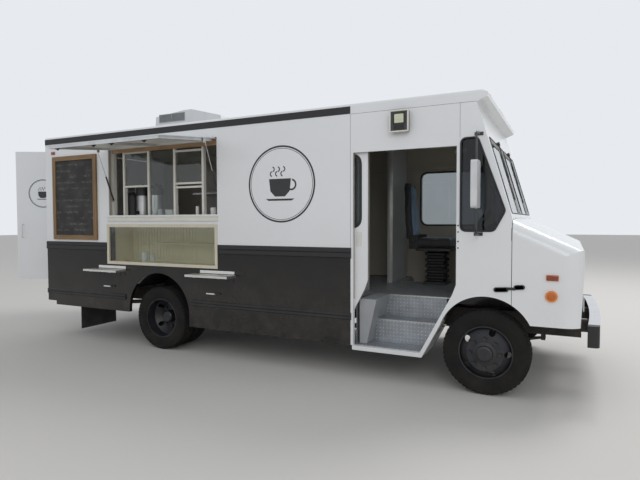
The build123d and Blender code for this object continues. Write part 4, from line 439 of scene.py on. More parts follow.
# %% Chassis and iron
def old_iron(name, color, rust_share, roughness=0.7, dust=0.4):
    made, tree, shader, place = new_finish(name, color, roughness, Metallic=0.0)
    fine = use(tree, "Fine Grain", Place=place, Scale=220.0)
    rust = ramp(tree, noise(tree, place, 9.0, 9.0, 0.7), 1.0 - rust_share, 1.15 - rust_share)
    rusty = blend_color(tree, fine["Height"], (0.10, 0.035, 0.012), (0.22, 0.085, 0.03))
    now = blend_color(tree, math_node(tree, "MULTIPLY", rust, 0.8), color, rusty)
    dusty = use(tree, "Road Dust", Place=place, Reach=1.2, Amount=dust)["Mask"]
    tree.links.new(blend_color(tree, dusty, now, DUST), shader.inputs["Base Color"])
    tree.links.new(math_node(tree, "MULTIPLY_ADD", rust, 0.15, roughness), shader.inputs["Roughness"])
    raise_surface(tree, shader, fine["Height"], 0.002, 0.6)
    return made


chassis_black = old_iron("chassis_black", (0.020, 0.020, 0.021), 0.42)
engine_iron = old_iron("engine_iron", (0.055, 0.053, 0.05), 0.48)
steering_iron = old_iron("steering_iron", (0.045, 0.043, 0.042), 0.55)
rim_paint = old_iron("rim_paint", (0.012, 0.014, 0.020), 0.30, 0.42, 0.12)
print("iron finishes")

# %% [markdown]
# Bare metals differ in colour, in the direction of their lines and in how bright they are. Drawn aluminium
# is used for the hatch, the shelves and the step edges, and polished steel for the gas struts' rods. The
# bumper and the kitchen come next, because each of them holds a second finish.

# %% Bare metals
def bare_metal(name, color, roughness, stretch, depth=0.0004, dust=0.0):
    made, tree, shader, place = new_finish(name, color, roughness, Metallic=1.0)
    drawn = use(tree, "Drawn Lines", Place=place, Stretch=stretch)
    tree.links.new(math_node(tree, "MULTIPLY_ADD", drawn["Patch"], 0.14, roughness - 0.04),
                   shader.inputs["Roughness"])
    now = blend_color(tree, drawn["Patch"], color, tuple(c * 0.86 for c in color))
    if dust:
        dusty = use(tree, "Road Dust", Place=place, Reach=1.2, Amount=dust)["Mask"]
        now = blend_color(tree, dusty, now, DUST)
        tree.links.new(math_node(tree, "SUBTRACT", 1.0, dusty), shader.inputs["Metallic"])
    tree.links.new(now, shader.inputs["Base Color"])
    raise_surface(tree, shader, drawn["Height"], depth, 0.4)
    return made


hatch_aluminium = bare_metal("hatch_aluminium", (0.72, 0.73, 0.74), 0.34, (6.0, 260.0, 260.0))
shelf_aluminium = bare_metal("shelf_aluminium", (0.78, 0.77, 0.74), 0.36, (6.0, 300.0, 300.0))
rod_steel = bare_metal("rod_steel", (0.62, 0.62, 0.63), 0.16, (200.0, 200.0, 4.0))
print("bare metals")

# %% [markdown]
# The bumper is a chromed channel. Its two ends are painted black, a painted shade and reflection of the dark
# ground, and are zones of the same finish, where the metal is turned off.

# %% Bumper finish
CHROME = (0.60, 0.61, 0.63)
BUMPER_PAINTED_DARK_ENDS = (((700, -1300, 300), (1100, -990, 900)), ((700, 990, 300), (1100, 1300, 900)))


def bumper_finish():
    made, tree, shader, place = new_finish("bumper_chrome_finish", CHROME, 0.12, Metallic=1.0)
    # the black ends, called cap here, are painted shade and reflection of the dark ground
    cap = any_of(tree, [zone(tree, place, *box) for box in BUMPER_PAINTED_DARK_ENDS])
    dusty = use(tree, "Road Dust", Place=place, Reach=1.2, Amount=0.3)["Mask"]
    plate = blend_color(tree, dusty, CHROME, DUST)
    tree.links.new(blend_color(tree, cap, plate, (0.014, 0.014, 0.015)), shader.inputs["Base Color"])
    dull = math_node(tree, "MAXIMUM", cap, dusty)
    tree.links.new(math_node(tree, "SUBTRACT", 1.0, dull), shader.inputs["Metallic"])
    tree.links.new(math_node(tree, "MULTIPLY_ADD", dull, 0.42, 0.10), shader.inputs["Roughness"])
    fine = use(tree, "Fine Grain", Place=place, Scale=260.0)
    raise_surface(tree, shader, fine["Height"], 0.0003, 0.3)
    return made


bumper_chrome = bumper_finish()
print(bumper_chrome.name)

# %% [markdown]
# The kitchen behind the cab is steel, but its bulkhead is a painted sheet. One finish holds both, and the
# bulkhead's zone turns the metal off.

# %% Kitchen finish
BULKHEAD = ((-1480, -1200, 800), (-1430, 1200, 2900))


def kitchen_finish():
    made, tree, shader, place = new_finish("kitchen_steel", (0.50, 0.50, 0.50), 0.33, Metallic=1.0)
    drawn = use(tree, "Drawn Lines", Place=place, Stretch=(5.0, 240.0, 240.0))
    paint = zone(tree, place, *BULKHEAD)
    steel = blend_color(tree, drawn["Patch"], (0.52, 0.52, 0.52), (0.42, 0.42, 0.42))
    tree.links.new(blend_color(tree, paint, steel, (0.40, 0.41, 0.41)), shader.inputs["Base Color"])
    tree.links.new(math_node(tree, "SUBTRACT", 1.0, paint), shader.inputs["Metallic"])
    tree.links.new(math_node(tree, "MULTIPLY_ADD", drawn["Patch"], 0.14, 0.28), shader.inputs["Roughness"])
    raise_surface(tree, shader, drawn["Height"], 0.0004, 0.4)
    return made


kitchen_steel = kitchen_finish()
print(kitchen_steel.name)

# %% [markdown]
# The steps and the cab floor are tread plate, worn bright on the lozenges' tops and grey with dust between.
# The pattern reads X and the sum of Y and Z, so it folds over an edge from a tread down its riser. The wheel
# housings are part of the same floor, and get a near-black painted shade.

# %% Tread plate finish
HOUSING_LENGTHS = ((-4620, -3460), (-470, 500))


def tread_plate():
    made, tree, shader, place = new_finish("tread_plate", (0.45, 0.46, 0.47), 0.42, Metallic=0.75)
    spot = tree.nodes.new("ShaderNodeSeparateXYZ")
    tree.links.new(place, spot.inputs[0])
    folded = tree.nodes.new("ShaderNodeCombineXYZ")
    tree.links.new(spot.outputs["X"], folded.inputs["X"])
    tree.links.new(math_node(tree, "ADD", spot.outputs["Y"], spot.outputs["Z"]), folded.inputs["Y"])
    plate = use(tree, "Tread Plate", Place=folded.outputs[0], Cells=26.0)["Height"]
    grime = ramp(tree, noise(tree, place, 11.0, 8.0, 0.65), 0.35, 0.75)
    low = blend_color(tree, grime, (0.40, 0.43, 0.47), (0.27, 0.27, 0.27))
    steel = blend_color(tree, plate, low, (0.70, 0.72, 0.74))
    # near black in the wheel housings: painted shade
    housing_shade_zones = [zone(tree, place, (x0, side * 900 - 300, 480), (x1, side * 900 + 300, 1010))
                for side in (RIGHT, LEFT) for x0, x1 in HOUSING_LENGTHS]
    tree.links.new(blend_color(tree, any_of(tree, housing_shade_zones), steel, (0.018, 0.018, 0.019)),
                   shader.inputs["Base Color"])
    tree.links.new(math_node(tree, "MULTIPLY_ADD", plate, -0.18, 0.5), shader.inputs["Roughness"])
    raise_surface(tree, shader, plate, 0.004, 0.8)
    return made


floor_plate = tread_plate()
print(floor_plate.name)

# %% [markdown]
# ## Glass
# Window glass is a thin solid pane here, so it is clear glass with a tint. The quarter windows and the cab
# doors carry dark film, and the windscreen only a faint green.

# %% Glass
def pane_glass(name, color, dark_boxes=(), dark=(0.10, 0.11, 0.12)):
    made, tree, shader, place = new_finish(name, color, 0.02, Transmission_Weight=1.0, IOR=1.45)
    smear = ramp(tree, noise(tree, place, 3.0, 6.0, 0.6), 0.35, 0.8)
    now = blend_color(tree, smear, color, tuple(c * 0.93 for c in color))
    for box in dark_boxes:
        now = blend_color(tree, zone(tree, place, *box), now, dark)
    tree.links.new(now, shader.inputs["Base Color"])
    tree.links.new(math_node(tree, "MULTIPLY_ADD", smear, 0.05, 0.01), shader.inputs["Roughness"])
    return made


QUARTER_BOXES = [((-400, side * 1180 - 60, 1400), (300, side * 1180 + 60, 2500)) for side in (RIGHT, LEFT)]
clear_glass = pane_glass("clear_glass", (0.86, 0.91, 0.89), QUARTER_BOXES)
door_glass = pane_glass("door_glass", (0.30, 0.33, 0.34))
print("glass")

# %% [markdown]
# ## Painted trim
# The window frame and the display case are cream, the menu board is stained pine around a chalk panel, and
# the roof unit is pale grey powder coat.

# %% Cream trim
def cream_trim(name, color, dark_boxes=()):
    made, tree, shader, place = new_finish(name, color, 0.38)
    fine = use(tree, "Fine Grain", Place=place, Scale=300.0)
    now = blend_color(tree, fine["Patch"], color, tuple(c * 0.9 for c in color))
    for box, other in dark_boxes:
        now = blend_color(tree, zone(tree, place, *box), now, other)
    tree.links.new(now, shader.inputs["Base Color"])
    tree.links.new(math_node(tree, "MULTIPLY_ADD", fine["Patch"], 0.12, 0.34), shader.inputs["Roughness"])
    raise_surface(tree, shader, fine["Height"], 0.0006, 0.4)
    return made


CASE_INSIDE = ((-4935, -1194, 1090), (-3090, -730, 1612))
window_cream = cream_trim("window_cream", (0.78, 0.76, 0.69))
case_cream = cream_trim("case_cream", (0.68, 0.63, 0.50), [(CASE_INSIDE, (0.88, 0.79, 0.58))])
unit_grey = cream_trim("unit_grey", (0.70, 0.71, 0.72))
print("cream trim")

# %% [markdown]
# The board's frame has grain along each rail, made by a noise stretched along the rail. The panel is
# chalkboard with faint rubbed chalk. Its rows are noise cut into bands, which makes the panel look used.

# %% Menu board finish
BOARD_X, BOARD_RAILS = (-5943, -5178), ((1400, 1467), (2521, 2590))


def board_finish():
    made, tree, shader, place = new_finish("board_pine", (0.30, 0.17, 0.08), 0.5)
    upright_lines = noise(tree, vector_node(tree, "MULTIPLY", place, (60.0, 60.0, 3.0)), 1.0, 5.0, 0.6)
    level_lines = noise(tree, vector_node(tree, "MULTIPLY", place, (3.0, 60.0, 60.0)), 1.0, 5.0, 0.6)
    rails = any_of(tree, [
        zone(tree, place, (BOARD_X[0], -1300, z0), (BOARD_X[1], -1100, z1)) for z0, z1 in BOARD_RAILS])
    grain = math_node(tree, "ADD", math_node(tree, "MULTIPLY", level_lines, rails),
                      math_node(tree, "MULTIPLY", upright_lines, math_node(tree, "SUBTRACT", 1.0, rails)))
    wood = blend_color(tree, ramp(tree, grain, 0.3, 0.7), (0.29, 0.175, 0.075), (0.16, 0.09, 0.035))
    spot = tree.nodes.new("ShaderNodeSeparateXYZ")
    tree.links.new(place, spot.inputs[0])
    rows = math_node(tree, "PINGPONG", math_node(tree, "MULTIPLY", spot.outputs["Z"], 24.0), 1.0)
    strokes = noise(tree, vector_node(tree, "MULTIPLY", place, (90.0, 1.0, 60.0)), 1.0, 2.0, 0.5)
    blocks = noise(tree, vector_node(tree, "MULTIPLY", place, (5.0, 1.0, 9.0)), 1.0, 1.0, 0.5)
    chalk = math_node(tree, "MULTIPLY", ramp(tree, rows, 0.55, 0.75), ramp(tree, strokes, 0.50, 0.62))
    chalk = math_node(tree, "MULTIPLY", chalk, ramp(tree, blocks, 0.46, 0.56))
    rubbed = math_node(tree, "MULTIPLY", ramp(tree, noise(tree, place, 6.0, 5.0, 0.6), 0.4, 0.8), 0.07)
    slate = blend_color(tree, math_node(tree, "ADD", math_node(tree, "MULTIPLY", chalk, 0.26), rubbed),
                        (0.030, 0.029, 0.028), (0.60, 0.58, 0.54))
    panel = zone(tree, place, (BOARD_X[0], -1300, BOARD_RAILS[0][1]), (BOARD_X[1], -1100, BOARD_RAILS[1][0]))
    tree.links.new(blend_color(tree, panel, wood, slate), shader.inputs["Base Color"])
    tree.links.new(math_node(tree, "MULTIPLY_ADD", panel, 0.3, 0.5), shader.inputs["Roughness"])
    raise_surface(tree, shader, grain, 0.002, 0.4)
    return made


board_pine = board_finish()
print(board_pine.name)

# %% [markdown]
# The lamps' node holds every lamp, so its material chooses by place: amber over the windscreen, red at the
# rear, and a black housing for the work lamp. The hood's front node carries the grille, the head lamps and
# the side lamps the same way.

# %% Lamp finish
AMBER = (0.85, 0.24, 0.01)
LAMP_RED = (0.42, 0.010, 0.008)
HEAD_LAMP, MIRROR_GREY = (0.66, 0.68, 0.70), (0.70, 0.71, 0.72)


def lamp_finish(name, base, zones, roughness=0.22):
    made, tree, shader, place = new_finish(name, base, roughness, Coat_Weight=0.6)
    fine = use(tree, "Fine Grain", Place=place, Scale=260.0)
    now = blend_color(tree, fine["Patch"], base, tuple(c * 0.8 for c in base))
    for box, color in zones:
        lens = blend_color(tree, fine["Patch"], color, tuple(c * 0.82 for c in color))
        now = blend_color(tree, zone(tree, place, *box), now, lens)
    tree.links.new(now, shader.inputs["Base Color"])
    tree.links.new(math_node(tree, "MULTIPLY_ADD", fine["Patch"], 0.1, roughness), shader.inputs["Roughness"])
    raise_surface(tree, shader, fine["Height"], 0.0008, 0.4)
    return made


def box_pair(x, y, half, z):
    return [((x[0], side * y - half, z[0]), (x[1], side * y + half, z[1])) for side in (RIGHT, LEFT)]


lamp_colors = lamp_finish("lamp_colors", (0.02, 0.02, 0.02), [
    (((-120, -1210, 2830), (60, 1210, 2930)), AMBER),
    (((-6230, -1250, 950), (-5980, 1250, 2780)), LAMP_RED),
])
side_lamps = [(box, AMBER) for box in box_pair((480, 700), 1230, 60, (900, 1200))]
head_lamps = [(box, HEAD_LAMP) for box in box_pair((700, 900), 770, 120, (806, 954))]
nose_colors = lamp_finish("nose_colors", (0.020, 0.020, 0.022), side_lamps + head_lamps)
mirror_heads = [(box, MIRROR_GREY) for box in box_pair((-140, 30), 1400, 102, (1764, 2200))]
mirror_colors = lamp_finish("mirror_colors", (0.018, 0.018, 0.019), mirror_heads, 0.35)
print(lamp_colors.name, nose_colors.name, mirror_colors.name)

# %% [markdown]
# ## Finishes on the CAD nodes
# Each node's object has one material slot from the record. The new finish goes into that slot, and the
# mesh is left alone. The cell stops the script if a node was forgotten.

# %% Give every node its finish
NODE_FINISHES = {
    side_enamel: "side_wall_right side_wall_left",
    white_enamel: "rear_wall cab_front hood_shell rear_door_right rear_door_left",
    door_enamel: "cab_door_right cab_door_left",
    roof_enamel: "roof_shell",
    black_rubber: "rubber_trim",
    chassis_black: "frame_chassis axles_and_springs",
    engine_iron: "engine_and_driveline",
    floor_plate: "body_floor cab_steps",
    clear_glass: "fixed_glass",
    door_glass: "cab_door_glass_right cab_door_glass_left",
    bumper_chrome: "front_bumper",
    unit_grey: "roof_unit",
    window_cream: "serving_window",
    case_cream: "display_case",
    board_pine: "menu_board",
    black_plastic: "driver_seat strut_barrel_rear strut_barrel_front",
    mirror_colors: "mirrors_and_wipers",
    lamp_colors: "lamps",
    dash_plastic: "dashboard",
    kitchen_steel: "interior_fitout",
    nose_colors: "hood_front",
    hatch_aluminium: "serving_hatch",
    rod_steel: "strut_rod_rear strut_rod_front",
    steering_iron: "tie_rod front_knuckle_right front_knuckle_left",
    shelf_aluminium: "fold_shelf_rear fold_shelf_front",
    rim_paint: "front_rim_right front_rim_left rear_rims_right rear_rims_left",
    tyre_rubber: "front_tyre_right front_tyre_left rear_tyres_right rear_tyres_left",
}
finished = set()
for finish, names in NODE_FINISHES.items():
    for name in names.split():
        for slot in nodes[name].material_slots:
            slot.material = finish
        finished.add(name)
missing = sorted(set(nodes) - finished)
if missing:
    raise RuntimeError(f"no finish for {missing}")
print(len(finished), "nodes finished")

# %% [markdown]
# ## Helpers for the small pieces
# Every extra piece is built in a bmesh, straight at its place. A bar is a box between two drawing points, a
# disc is a short turned form on an axis, and a seal is a closed curve with a round section. The last helper
# turns the bmesh into an object, rounds its edges, gives it a finish, and lets it ride on a body.

# %% Mesh helpers
def add_bar(bm, low, high, lean=None):
    low, high = at(*low), at(*high)
    place = Matrix.Translation((low + high) / 2) @ (lean or Matrix.Identity(4))
    return bmesh.ops.create_cube(bm, size=1, matrix=place @ Matrix.Diagonal((*(high - low), 1)))["verts"]


def add_disc(bm, centre, axis, radius, depth, top=1.0, sides=28):
    spin = Vector(axis).to_track_quat("Z", "Y").to_matrix().to_4x4()
    place = Matrix.Translation(at(*centre) + Vector(axis).normalized() * depth / 2000) @ spin
    bmesh.ops.create_cone(bm, cap_ends=True, segments=sides, radius1=radius / 1000,
                          radius2=radius * top / 1000, depth=depth / 1000, matrix=place)


def settle(name, bm, body, finish, edge=0.0):
    mesh = bpy.data.meshes.new(name)
    bmesh.ops.recalc_face_normals(bm, faces=bm.faces)
    bm.to_mesh(mesh)
    bm.free()
    piece = bpy.data.objects.new(name, mesh)
    bpy.context.scene.collection.objects.link(piece)
    mesh.materials.append(finish)
    mesh.shade_smooth()
    mesh.set_sharp_from_angle(angle=math.radians(35))
    if edge:
        soft = piece.modifiers.new("soft_edges", "BEVEL")
        soft.width = edge / 1000
        soft.segments = 2
        soft.limit_method = "ANGLE"
    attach(piece, body)
    return piece


def seal(name, points, radius, body, finish, closed=True):
    curve = bpy.data.curves.new(name, "CURVE")
    curve.dimensions = "3D"
    curve.bevel_depth = radius / 1000
    curve.bevel_resolution = 2
    curve.use_fill_caps = not closed
    line = curve.splines.new("POLY")
    line.points.add(len(points) - 1)
    for knot, point in zip(line.points, points):
        knot.co = (*at(*point), 1)
    line.use_cyclic_u = closed
    curve.materials.append(finish)
    piece = bpy.data.objects.new(name, curve)
    bpy.context.scene.collection.objects.link(piece)
    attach(piece, body)
    return piece


def rounded_loop(corners, radius, steps=5):
    loop = []
    for index, corner in enumerate(corners):
        here = Vector(corner)
        before = (Vector(corners[index - 1]) - here).normalized()
        after = (Vector(corners[(index + 1) % len(corners)]) - here).normalized()
        reach = radius / math.tan(before.angle(after) / 2)
        start, end = here + before * reach, here + after * reach
        for step in range(steps + 1):
            t = step / steps
            loop.append(start * (1 - t) ** 2 + here * 2 * t * (1 - t) + end * t ** 2)
    return loop


print("mesh helpers ready")

# %% [markdown]
# ## Tyres
# A truck tyre's tread is blocks between grooves. The section is turned round the axle as a grid of points,
# and each point's radius is lowered where a groove runs: four straight grooves round the tread, and short
# cross cuts at both shoulders. That costs far fewer faces than cutting real slots.

# %% Tyre section
AXLE_Z = 405.5
SECTION = [(92, 250), (100, 258), (104, 272), (109, 300), (112.4, 322), (112.4, 330), (111, 348), (108, 366),
           (105.5, 374), (105.8, 378), (103, 388), (99, 396), (94, 400.5), (88, 402.5), (80, 403.6)]
GROOVES = (-56, -19, 19, 56)
CUTS, STEPS_PER_CUT = 54, 6


def tread_line():
    line = []
    for y in np.linspace(-76, 76, 39):
        dip = 9.0 if min(abs(y - g) for g in GROOVES) < 4.2 else 0.0
        line.append((y, 405.3 - (y / 76) ** 2 * 1.4 - dip))
    return line


def tyre_section():
    left = [(-y, r) for y, r in SECTION]
    right = [(y, r) for y, r in reversed(SECTION)]
    return left + tread_line() + right


print(len(tyre_section()), "points in the tyre's section")

# %% [markdown]
# The section is now swept round the axle. Two steps in every six fall in a cross cut, where the shoulder's
# points drop. The rear wheels are twins, so each side there gets two tyres in one piece.

# %% Tyre mesh
def add_tyre(bm, x, y):
    section = tyre_section()
    turns = CUTS * STEPS_PER_CUT
    rings = []
    for step in range(turns):
        angle = 2 * math.pi * step / turns
        in_cut = step % STEPS_PER_CUT in (0, 1)
        ring = []
        for offset, radius in section:
            if in_cut and 62 < abs(offset) < 107 and radius > 374:
                radius -= 6.5
            if step % 2 and abs(abs(offset) - 37.5) < 12 and radius > 404:
                radius -= 1.6
            ring.append(bm.verts.new(at(x + radius * math.sin(angle), y + offset,
                                        AXLE_Z + radius * math.cos(angle))))
        rings.append(ring)
    for a, b in zip(rings, rings[1:] + rings[:1]):
        for i in range(len(section) - 1):
            bm.faces.new((a[i], a[i + 1], b[i + 1], b[i]))
        bm.faces.new((a[-1], a[0], b[0], b[-1]))


TRACK_HALF, DUAL_HALF = 1058, 128
REAR_AXLE_X, REAR_FACE_Y = -4040, 930
for side, word in SIDES:
    bm = bmesh.new()
    add_tyre(bm, 0, side * TRACK_HALF)
    tyre = settle(f"treaded_front_tyre_{word}", bm, f"front_wheel_{word}", tyre_rubber)
    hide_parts(f"front_tyre_{word}")
    bm = bmesh.new()
    for step in (-1, 1):
        add_tyre(bm, REAR_AXLE_X, side * (REAR_FACE_Y + step * DUAL_HALF))
    tyre = settle(f"treaded_rear_tyres_{word}", bm, f"rear_wheels_{word}", tyre_rubber)
    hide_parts(f"rear_tyres_{word}")
    print(word, "tyres", len(tyre.data.polygons), "faces in the rear pair")

# %% [markdown]
# ## Window seals
# The quarter windows sit in fat black seals, and the windscreen panes in thinner ones. A seal follows its
# window's own outline, so it starts from the same corner points as the glass.

# %% Seals round the glass
QUARTER = ((-229, 1558), (75, 1558), (172, 1745), (-75, 2432), (-229, 2432))
COWL, PILLAR_TOP = (230, 1690), (-77, 2727)


def screen_point(across, up, out=0.0):
    slope = math.hypot(PILLAR_TOP[0] - COWL[0], PILLAR_TOP[1] - COWL[1])
    run, rise = (PILLAR_TOP[0] - COWL[0]) / slope, (PILLAR_TOP[1] - COWL[1]) / slope
    return (COWL[0] + up * run + out * rise, across, COWL[1] + up * rise - out * run)


for side, word in SIDES:
    loop = rounded_loop([(x, z, 0) for x, z in QUARTER], 55)
    seal(f"quarter_seal_{word}", [(p[0], side * 1203, p[1]) for p in loop], 9, "body", black_rubber)
    pane = [(side * 20, 35, 0), (side * 1085, 35, 0), (side * 1085, 790, 0), (side * 20, 790, 0)]
    seal(f"screen_seal_{word}", [screen_point(p[0], p[1], 1) for p in rounded_loop(pane, 40)], 4.5, "body",
         black_rubber)
print("four seals")

# %% [markdown]
# ## Lamps and reflectors
# The clearance lamps, the side markers and the tail lamps are moulded lenses with a thick rim. The lens is
# a shallow dome of its own, because a flat disc catches no light. The hood's two side lamps are amber.

# %% Lens pieces
def lens_finish(name, color):
    made, tree, shader, place = new_finish(name, color, 0.12, Coat_Weight=0.8, Subsurface_Weight=0.15)
    ribs = use(tree, "Drawn Lines", Place=place, Stretch=(180.0, 180.0, 30.0))
    tree.links.new(blend_color(tree, ribs["Height"], color, tuple(c * 0.6 for c in color)),
                   shader.inputs["Base Color"])
    tree.links.new(math_node(tree, "MULTIPLY_ADD", ribs["Height"], 0.12, 0.08), shader.inputs["Roughness"])
    raise_surface(tree, shader, ribs["Height"], 0.002, 0.5)
    return made


amber_lens = lens_finish("amber_lens", (0.72, 0.15, 0.006))
maroon_lens = lens_finish("maroon_lens", (0.30, 0.045, 0.012))
red_lens = lens_finish("red_lens", (0.46, 0.008, 0.008))
clear_lens = lens_finish("clear_lens", (0.72, 0.74, 0.76))
glow_lens = lens_finish("glow_lens", (0.82, 0.80, 0.55))


def dome_lens(bm, centre, axis, radius, rise):
    add_disc(bm, centre, axis, radius, rise * 0.5, 0.97)
    step = Vector(axis).normalized() * rise * 0.5
    add_disc(bm, tuple(Vector(centre) + step), axis, radius * 0.94, rise * 0.35, 0.82)
    add_disc(bm, tuple(Vector(centre) + step * 1.7), axis, radius * 0.77, rise * 0.15, 0.55)


bm = bmesh.new()
for side in (RIGHT, LEFT):
    dome_lens(bm, (565, side * 1206, 983), (0, side, 0), 43, 18)
settle("hood_side_lenses", bm, "hood", amber_lens)
bm = bmesh.new()
for side in (RIGHT, LEFT):
    add_bar(bm, (822, side * 788 - 92, 812), (832, side * 788 + 92, 948))
settle("head_lamp_glass", bm, "hood", clear_lens, 8)
bm = bmesh.new()
for side in (RIGHT, LEFT):
    add_bar(bm, (522, side * 1209 - 12, 1122), (622, side * 1209 + 12, 1172))
settle("hood_side_markers", bm, "hood", maroon_lens, 10)
bm = bmesh.new()
for side in (RIGHT, LEFT):
    add_bar(bm, (-6046, side * 1205 - 5, 2620), (-5966, side * 1205 + 5, 2664))
settle("rear_side_markers", bm, "body", maroon_lens, 4)
bm = bmesh.new()
for side in (RIGHT, LEFT):
    for z in (1000, 1120):
        dome_lens(bm, (-6193, side * 1000, z), (-1, 0, 0), 47, 10)
settle("tail_lenses", bm, "body", red_lens, 1)
bm = bmesh.new()
for side in (RIGHT, LEFT):
    dome_lens(bm, (-6193, side * 1000, 1240), (-1, 0, 0), 47, 10)
settle("reverse_lenses", bm, "body", clear_lens, 1)
print("lenses on hood and rear")

# %% [markdown]
# The work lamp over the cab door is a small flood lamp: a pale metal surround, a black bezel, and a lens in
# its upper part that looks faintly yellow. Each frame is four bars on one plane, so a list of X and Z
# spans and one depth say it all.

# %% Work lamp
def add_frame(bm, spans, y0, y1):
    for (x0, x1), (z0, z1) in spans:
        add_bar(bm, (x0, y0, z0), (x1, y1, z1))


SURROUND = (((-913, -717), (2527, 2541)), ((-913, -717), (2730, 2744)),
            ((-913, -899), (2541, 2730)), ((-731, -717), (2541, 2730)))
BEZEL = (((-868, -762), (2600, 2616)), ((-868, -762), (2704, 2720)),
         ((-878, -862), (2600, 2720)), ((-768, -752), (2600, 2720)))
bm = bmesh.new()
add_frame(bm, SURROUND, -1278, -1262)
settle("work_lamp_surround", bm, "body", window_cream, 3)
bm = bmesh.new()
add_frame(bm, BEZEL, -1276, -1270)
for fin in range(5):
    add_bar(bm, (-870, -1275, 2552 + fin * 9), (-760, -1270, 2556 + fin * 9))
settle("work_lamp_bezel", bm, "body", black_plastic, 2)
bm = bmesh.new()
add_bar(bm, (-862, -1274, 2616), (-768, -1269, 2704))
add_disc(bm, (-815, -1273, 2660), (0, -1, 0), 26, 3, 0.7)
settle("work_lamp_lens", bm, "body", glow_lens, 2)
print("work lamp dressed")

# %% [markdown]
# ## Serving side
# Under the raised hatch a stained board hides the window's head. Its stain follows the grain, so the noise
# is stretched along the board before it sets the colour, the gloss and a slight relief.

# %% Head board
def stained_wood(name, color, stretch):
    made, tree, shader, place = new_finish(name, color, 0.55)
    grain = noise(tree, vector_node(tree, "MULTIPLY", place, stretch), 1.0, 6.0, 0.65)
    tree.links.new(blend_color(tree, ramp(tree, grain, 0.3, 0.72), color, tuple(c * 0.45 for c in color)),
                   shader.inputs["Base Color"])
    tree.links.new(math_node(tree, "MULTIPLY_ADD", grain, 0.2, 0.42), shader.inputs["Roughness"])
    raise_surface(tree, shader, grain, 0.002, 0.5)
    return made


header_wood = stained_wood("header_wood", (0.46, 0.29, 0.15), (2.0, 50.0, 50.0))
bm = bmesh.new()
for x0, x1 in ((-4880, -4010), (-4006, -3105)):
    add_bar(bm, (x0, -1150, 2576), (x1, -1126, 2657))
settle("head_board", bm, "body", header_wood, 3)
print("head board")

# %% [markdown]
# What stands on the counter is turned or folded stock: two urns with lids and taps, a pump jug, cups and a
# napkin box. A cone with its own taper for each part is enough at this size, and a small bevel catches
# the light.

# %% Lids and counter goods
COUNTER_Z, URN_Y = 1721, -860
bm = bmesh.new()
for x in (-4620, -4380):
    add_disc(bm, (x, URN_Y, 2012), (0, 0, 1), 103, 118, 1.0)
    add_disc(bm, (x, URN_Y, 2130), (0, 0, 1), 103, 26, 0.8)
    add_disc(bm, (x, URN_Y, 2156), (0, 0, 1), 22, 14, 0.9)
    add_bar(bm, (x - 18, -975, 1760), (x + 18, -950, 1800))
    add_disc(bm, (x, -1002, 1782), (0, 1, 0), 9, 30)
settle("urn_lids", bm, "body", black_plastic, 2)
bm = bmesh.new()
for x, y, radius, height in ((-4160, -1015, 30, 92), (-3905, -985, 26, 130), (-3290, -1010, 33, 100),
                             (-3215, -990, 24, 150), (-3550, -1000, 22, 120)):
    add_disc(bm, (x, y, COUNTER_Z), (0, 0, 1), radius, height, 1.12 if height < 110 else 0.95)
    add_disc(bm, (x, y, COUNTER_Z + height), (0, 0, 1), radius * 1.1, 7, 0.96)
add_bar(bm, (-4050, -1040, COUNTER_Z), (-3930, -1000, COUNTER_Z + 90))
settle("counter_paper_goods", bm, "body", clean_white_plastic, 2)
bm = bmesh.new()
add_disc(bm, (-4795, -870, COUNTER_Z), (0, 0, 1), 74, 300, 1.0)
add_disc(bm, (-4795, -870, 2021), (0, 0, 1), 74, 40, 0.7)
add_bar(bm, (-4812, -965, 2020), (-4778, -930, 2050))
settle("black_airpot", bm, "body", black_plastic, 4)
print("lids, cups and the pump jug")

# %% [markdown]
# Outside, a cream channel runs along the foot of the window. Inside the display case thin upright slats
# line the back, and a few cups stand on its floor. They are plain bars and cones, because only their
# rhythm shows from outside.

# %% Sill and display case
CASE_FLOOR_Z = 1128
bm = bmesh.new()
add_bar(bm, (-4921, -1216, 1656), (-3075, -1200.4, 1664))
add_bar(bm, (-4921, -1216, 1711), (-3075, -1200.4, 1719))
add_bar(bm, (-4921, -1206, 1664), (-3075, -1200.4, 1711))
settle("serving_sill", bm, "body", window_cream, 2)
bm = bmesh.new()
for slat in range(22):
    x = -4880 + slat * 52
    add_bar(bm, (x, -763, CASE_FLOOR_Z), (x + 5, -757, 1606))
add_bar(bm, (-3720, -764, 1140), (-3160, -757, 1600))
settle("case_slats", bm, "body", case_cream, 1)
bm = bmesh.new()
add_bar(bm, (-4900, -1190, CASE_FLOOR_Z), (-4886, -1110, 1606))
settle("case_dark_jamb", bm, "body", dash_plastic, 2)
bm = bmesh.new()
add_disc(bm, (-4330, -1130, CASE_FLOOR_Z), (0, 0, 1), 34, 118, 1.28)
add_disc(bm, (-4330, -1130, CASE_FLOOR_Z + 118), (0, 0, 1), 47, 9, 0.97)
add_disc(bm, (-4230, -1090, CASE_FLOOR_Z), (0, 0, 1), 30, 90, 1.25)
settle("case_paper_cups", bm, "body", clean_white_plastic, 1)
print("serving side dressed")

# %% [markdown]
# A ring with a cup decorates the side and the open rear door: plain black film, cut as a ring and a simple
# cup. Real film is far thinner than a millimetre, but a sheet of one millimetre stands clear of the
# paint without flicker. The door's copy is turned with the door, which stands open.

# %% Ring and cup in black film
def film_black_finish():
    made, tree, shader, place = new_finish("cut_film", (0.012, 0.012, 0.013), 0.3, Coat_Weight=0.3)
    fine = use(tree, "Fine Grain", Place=place, Scale=200.0)
    tree.links.new(math_node(tree, "MULTIPLY_ADD", fine["Patch"], 0.12, 0.24), shader.inputs["Roughness"])
    raise_surface(tree, shader, fine["Height"], 0.0004, 0.3)
    return made


def add_flat(bm, points, y, thick):
    near = [bm.verts.new(at(x, y, z)) for x, z in points]
    far = [bm.verts.new(at(x, y + thick, z)) for x, z in points]
    bm.faces.new(near)
    bm.faces.new(list(reversed(far)))
    for i in range(len(points)):
        j = (i + 1) % len(points)
        bm.faces.new((near[j], near[i], far[i], far[j]))


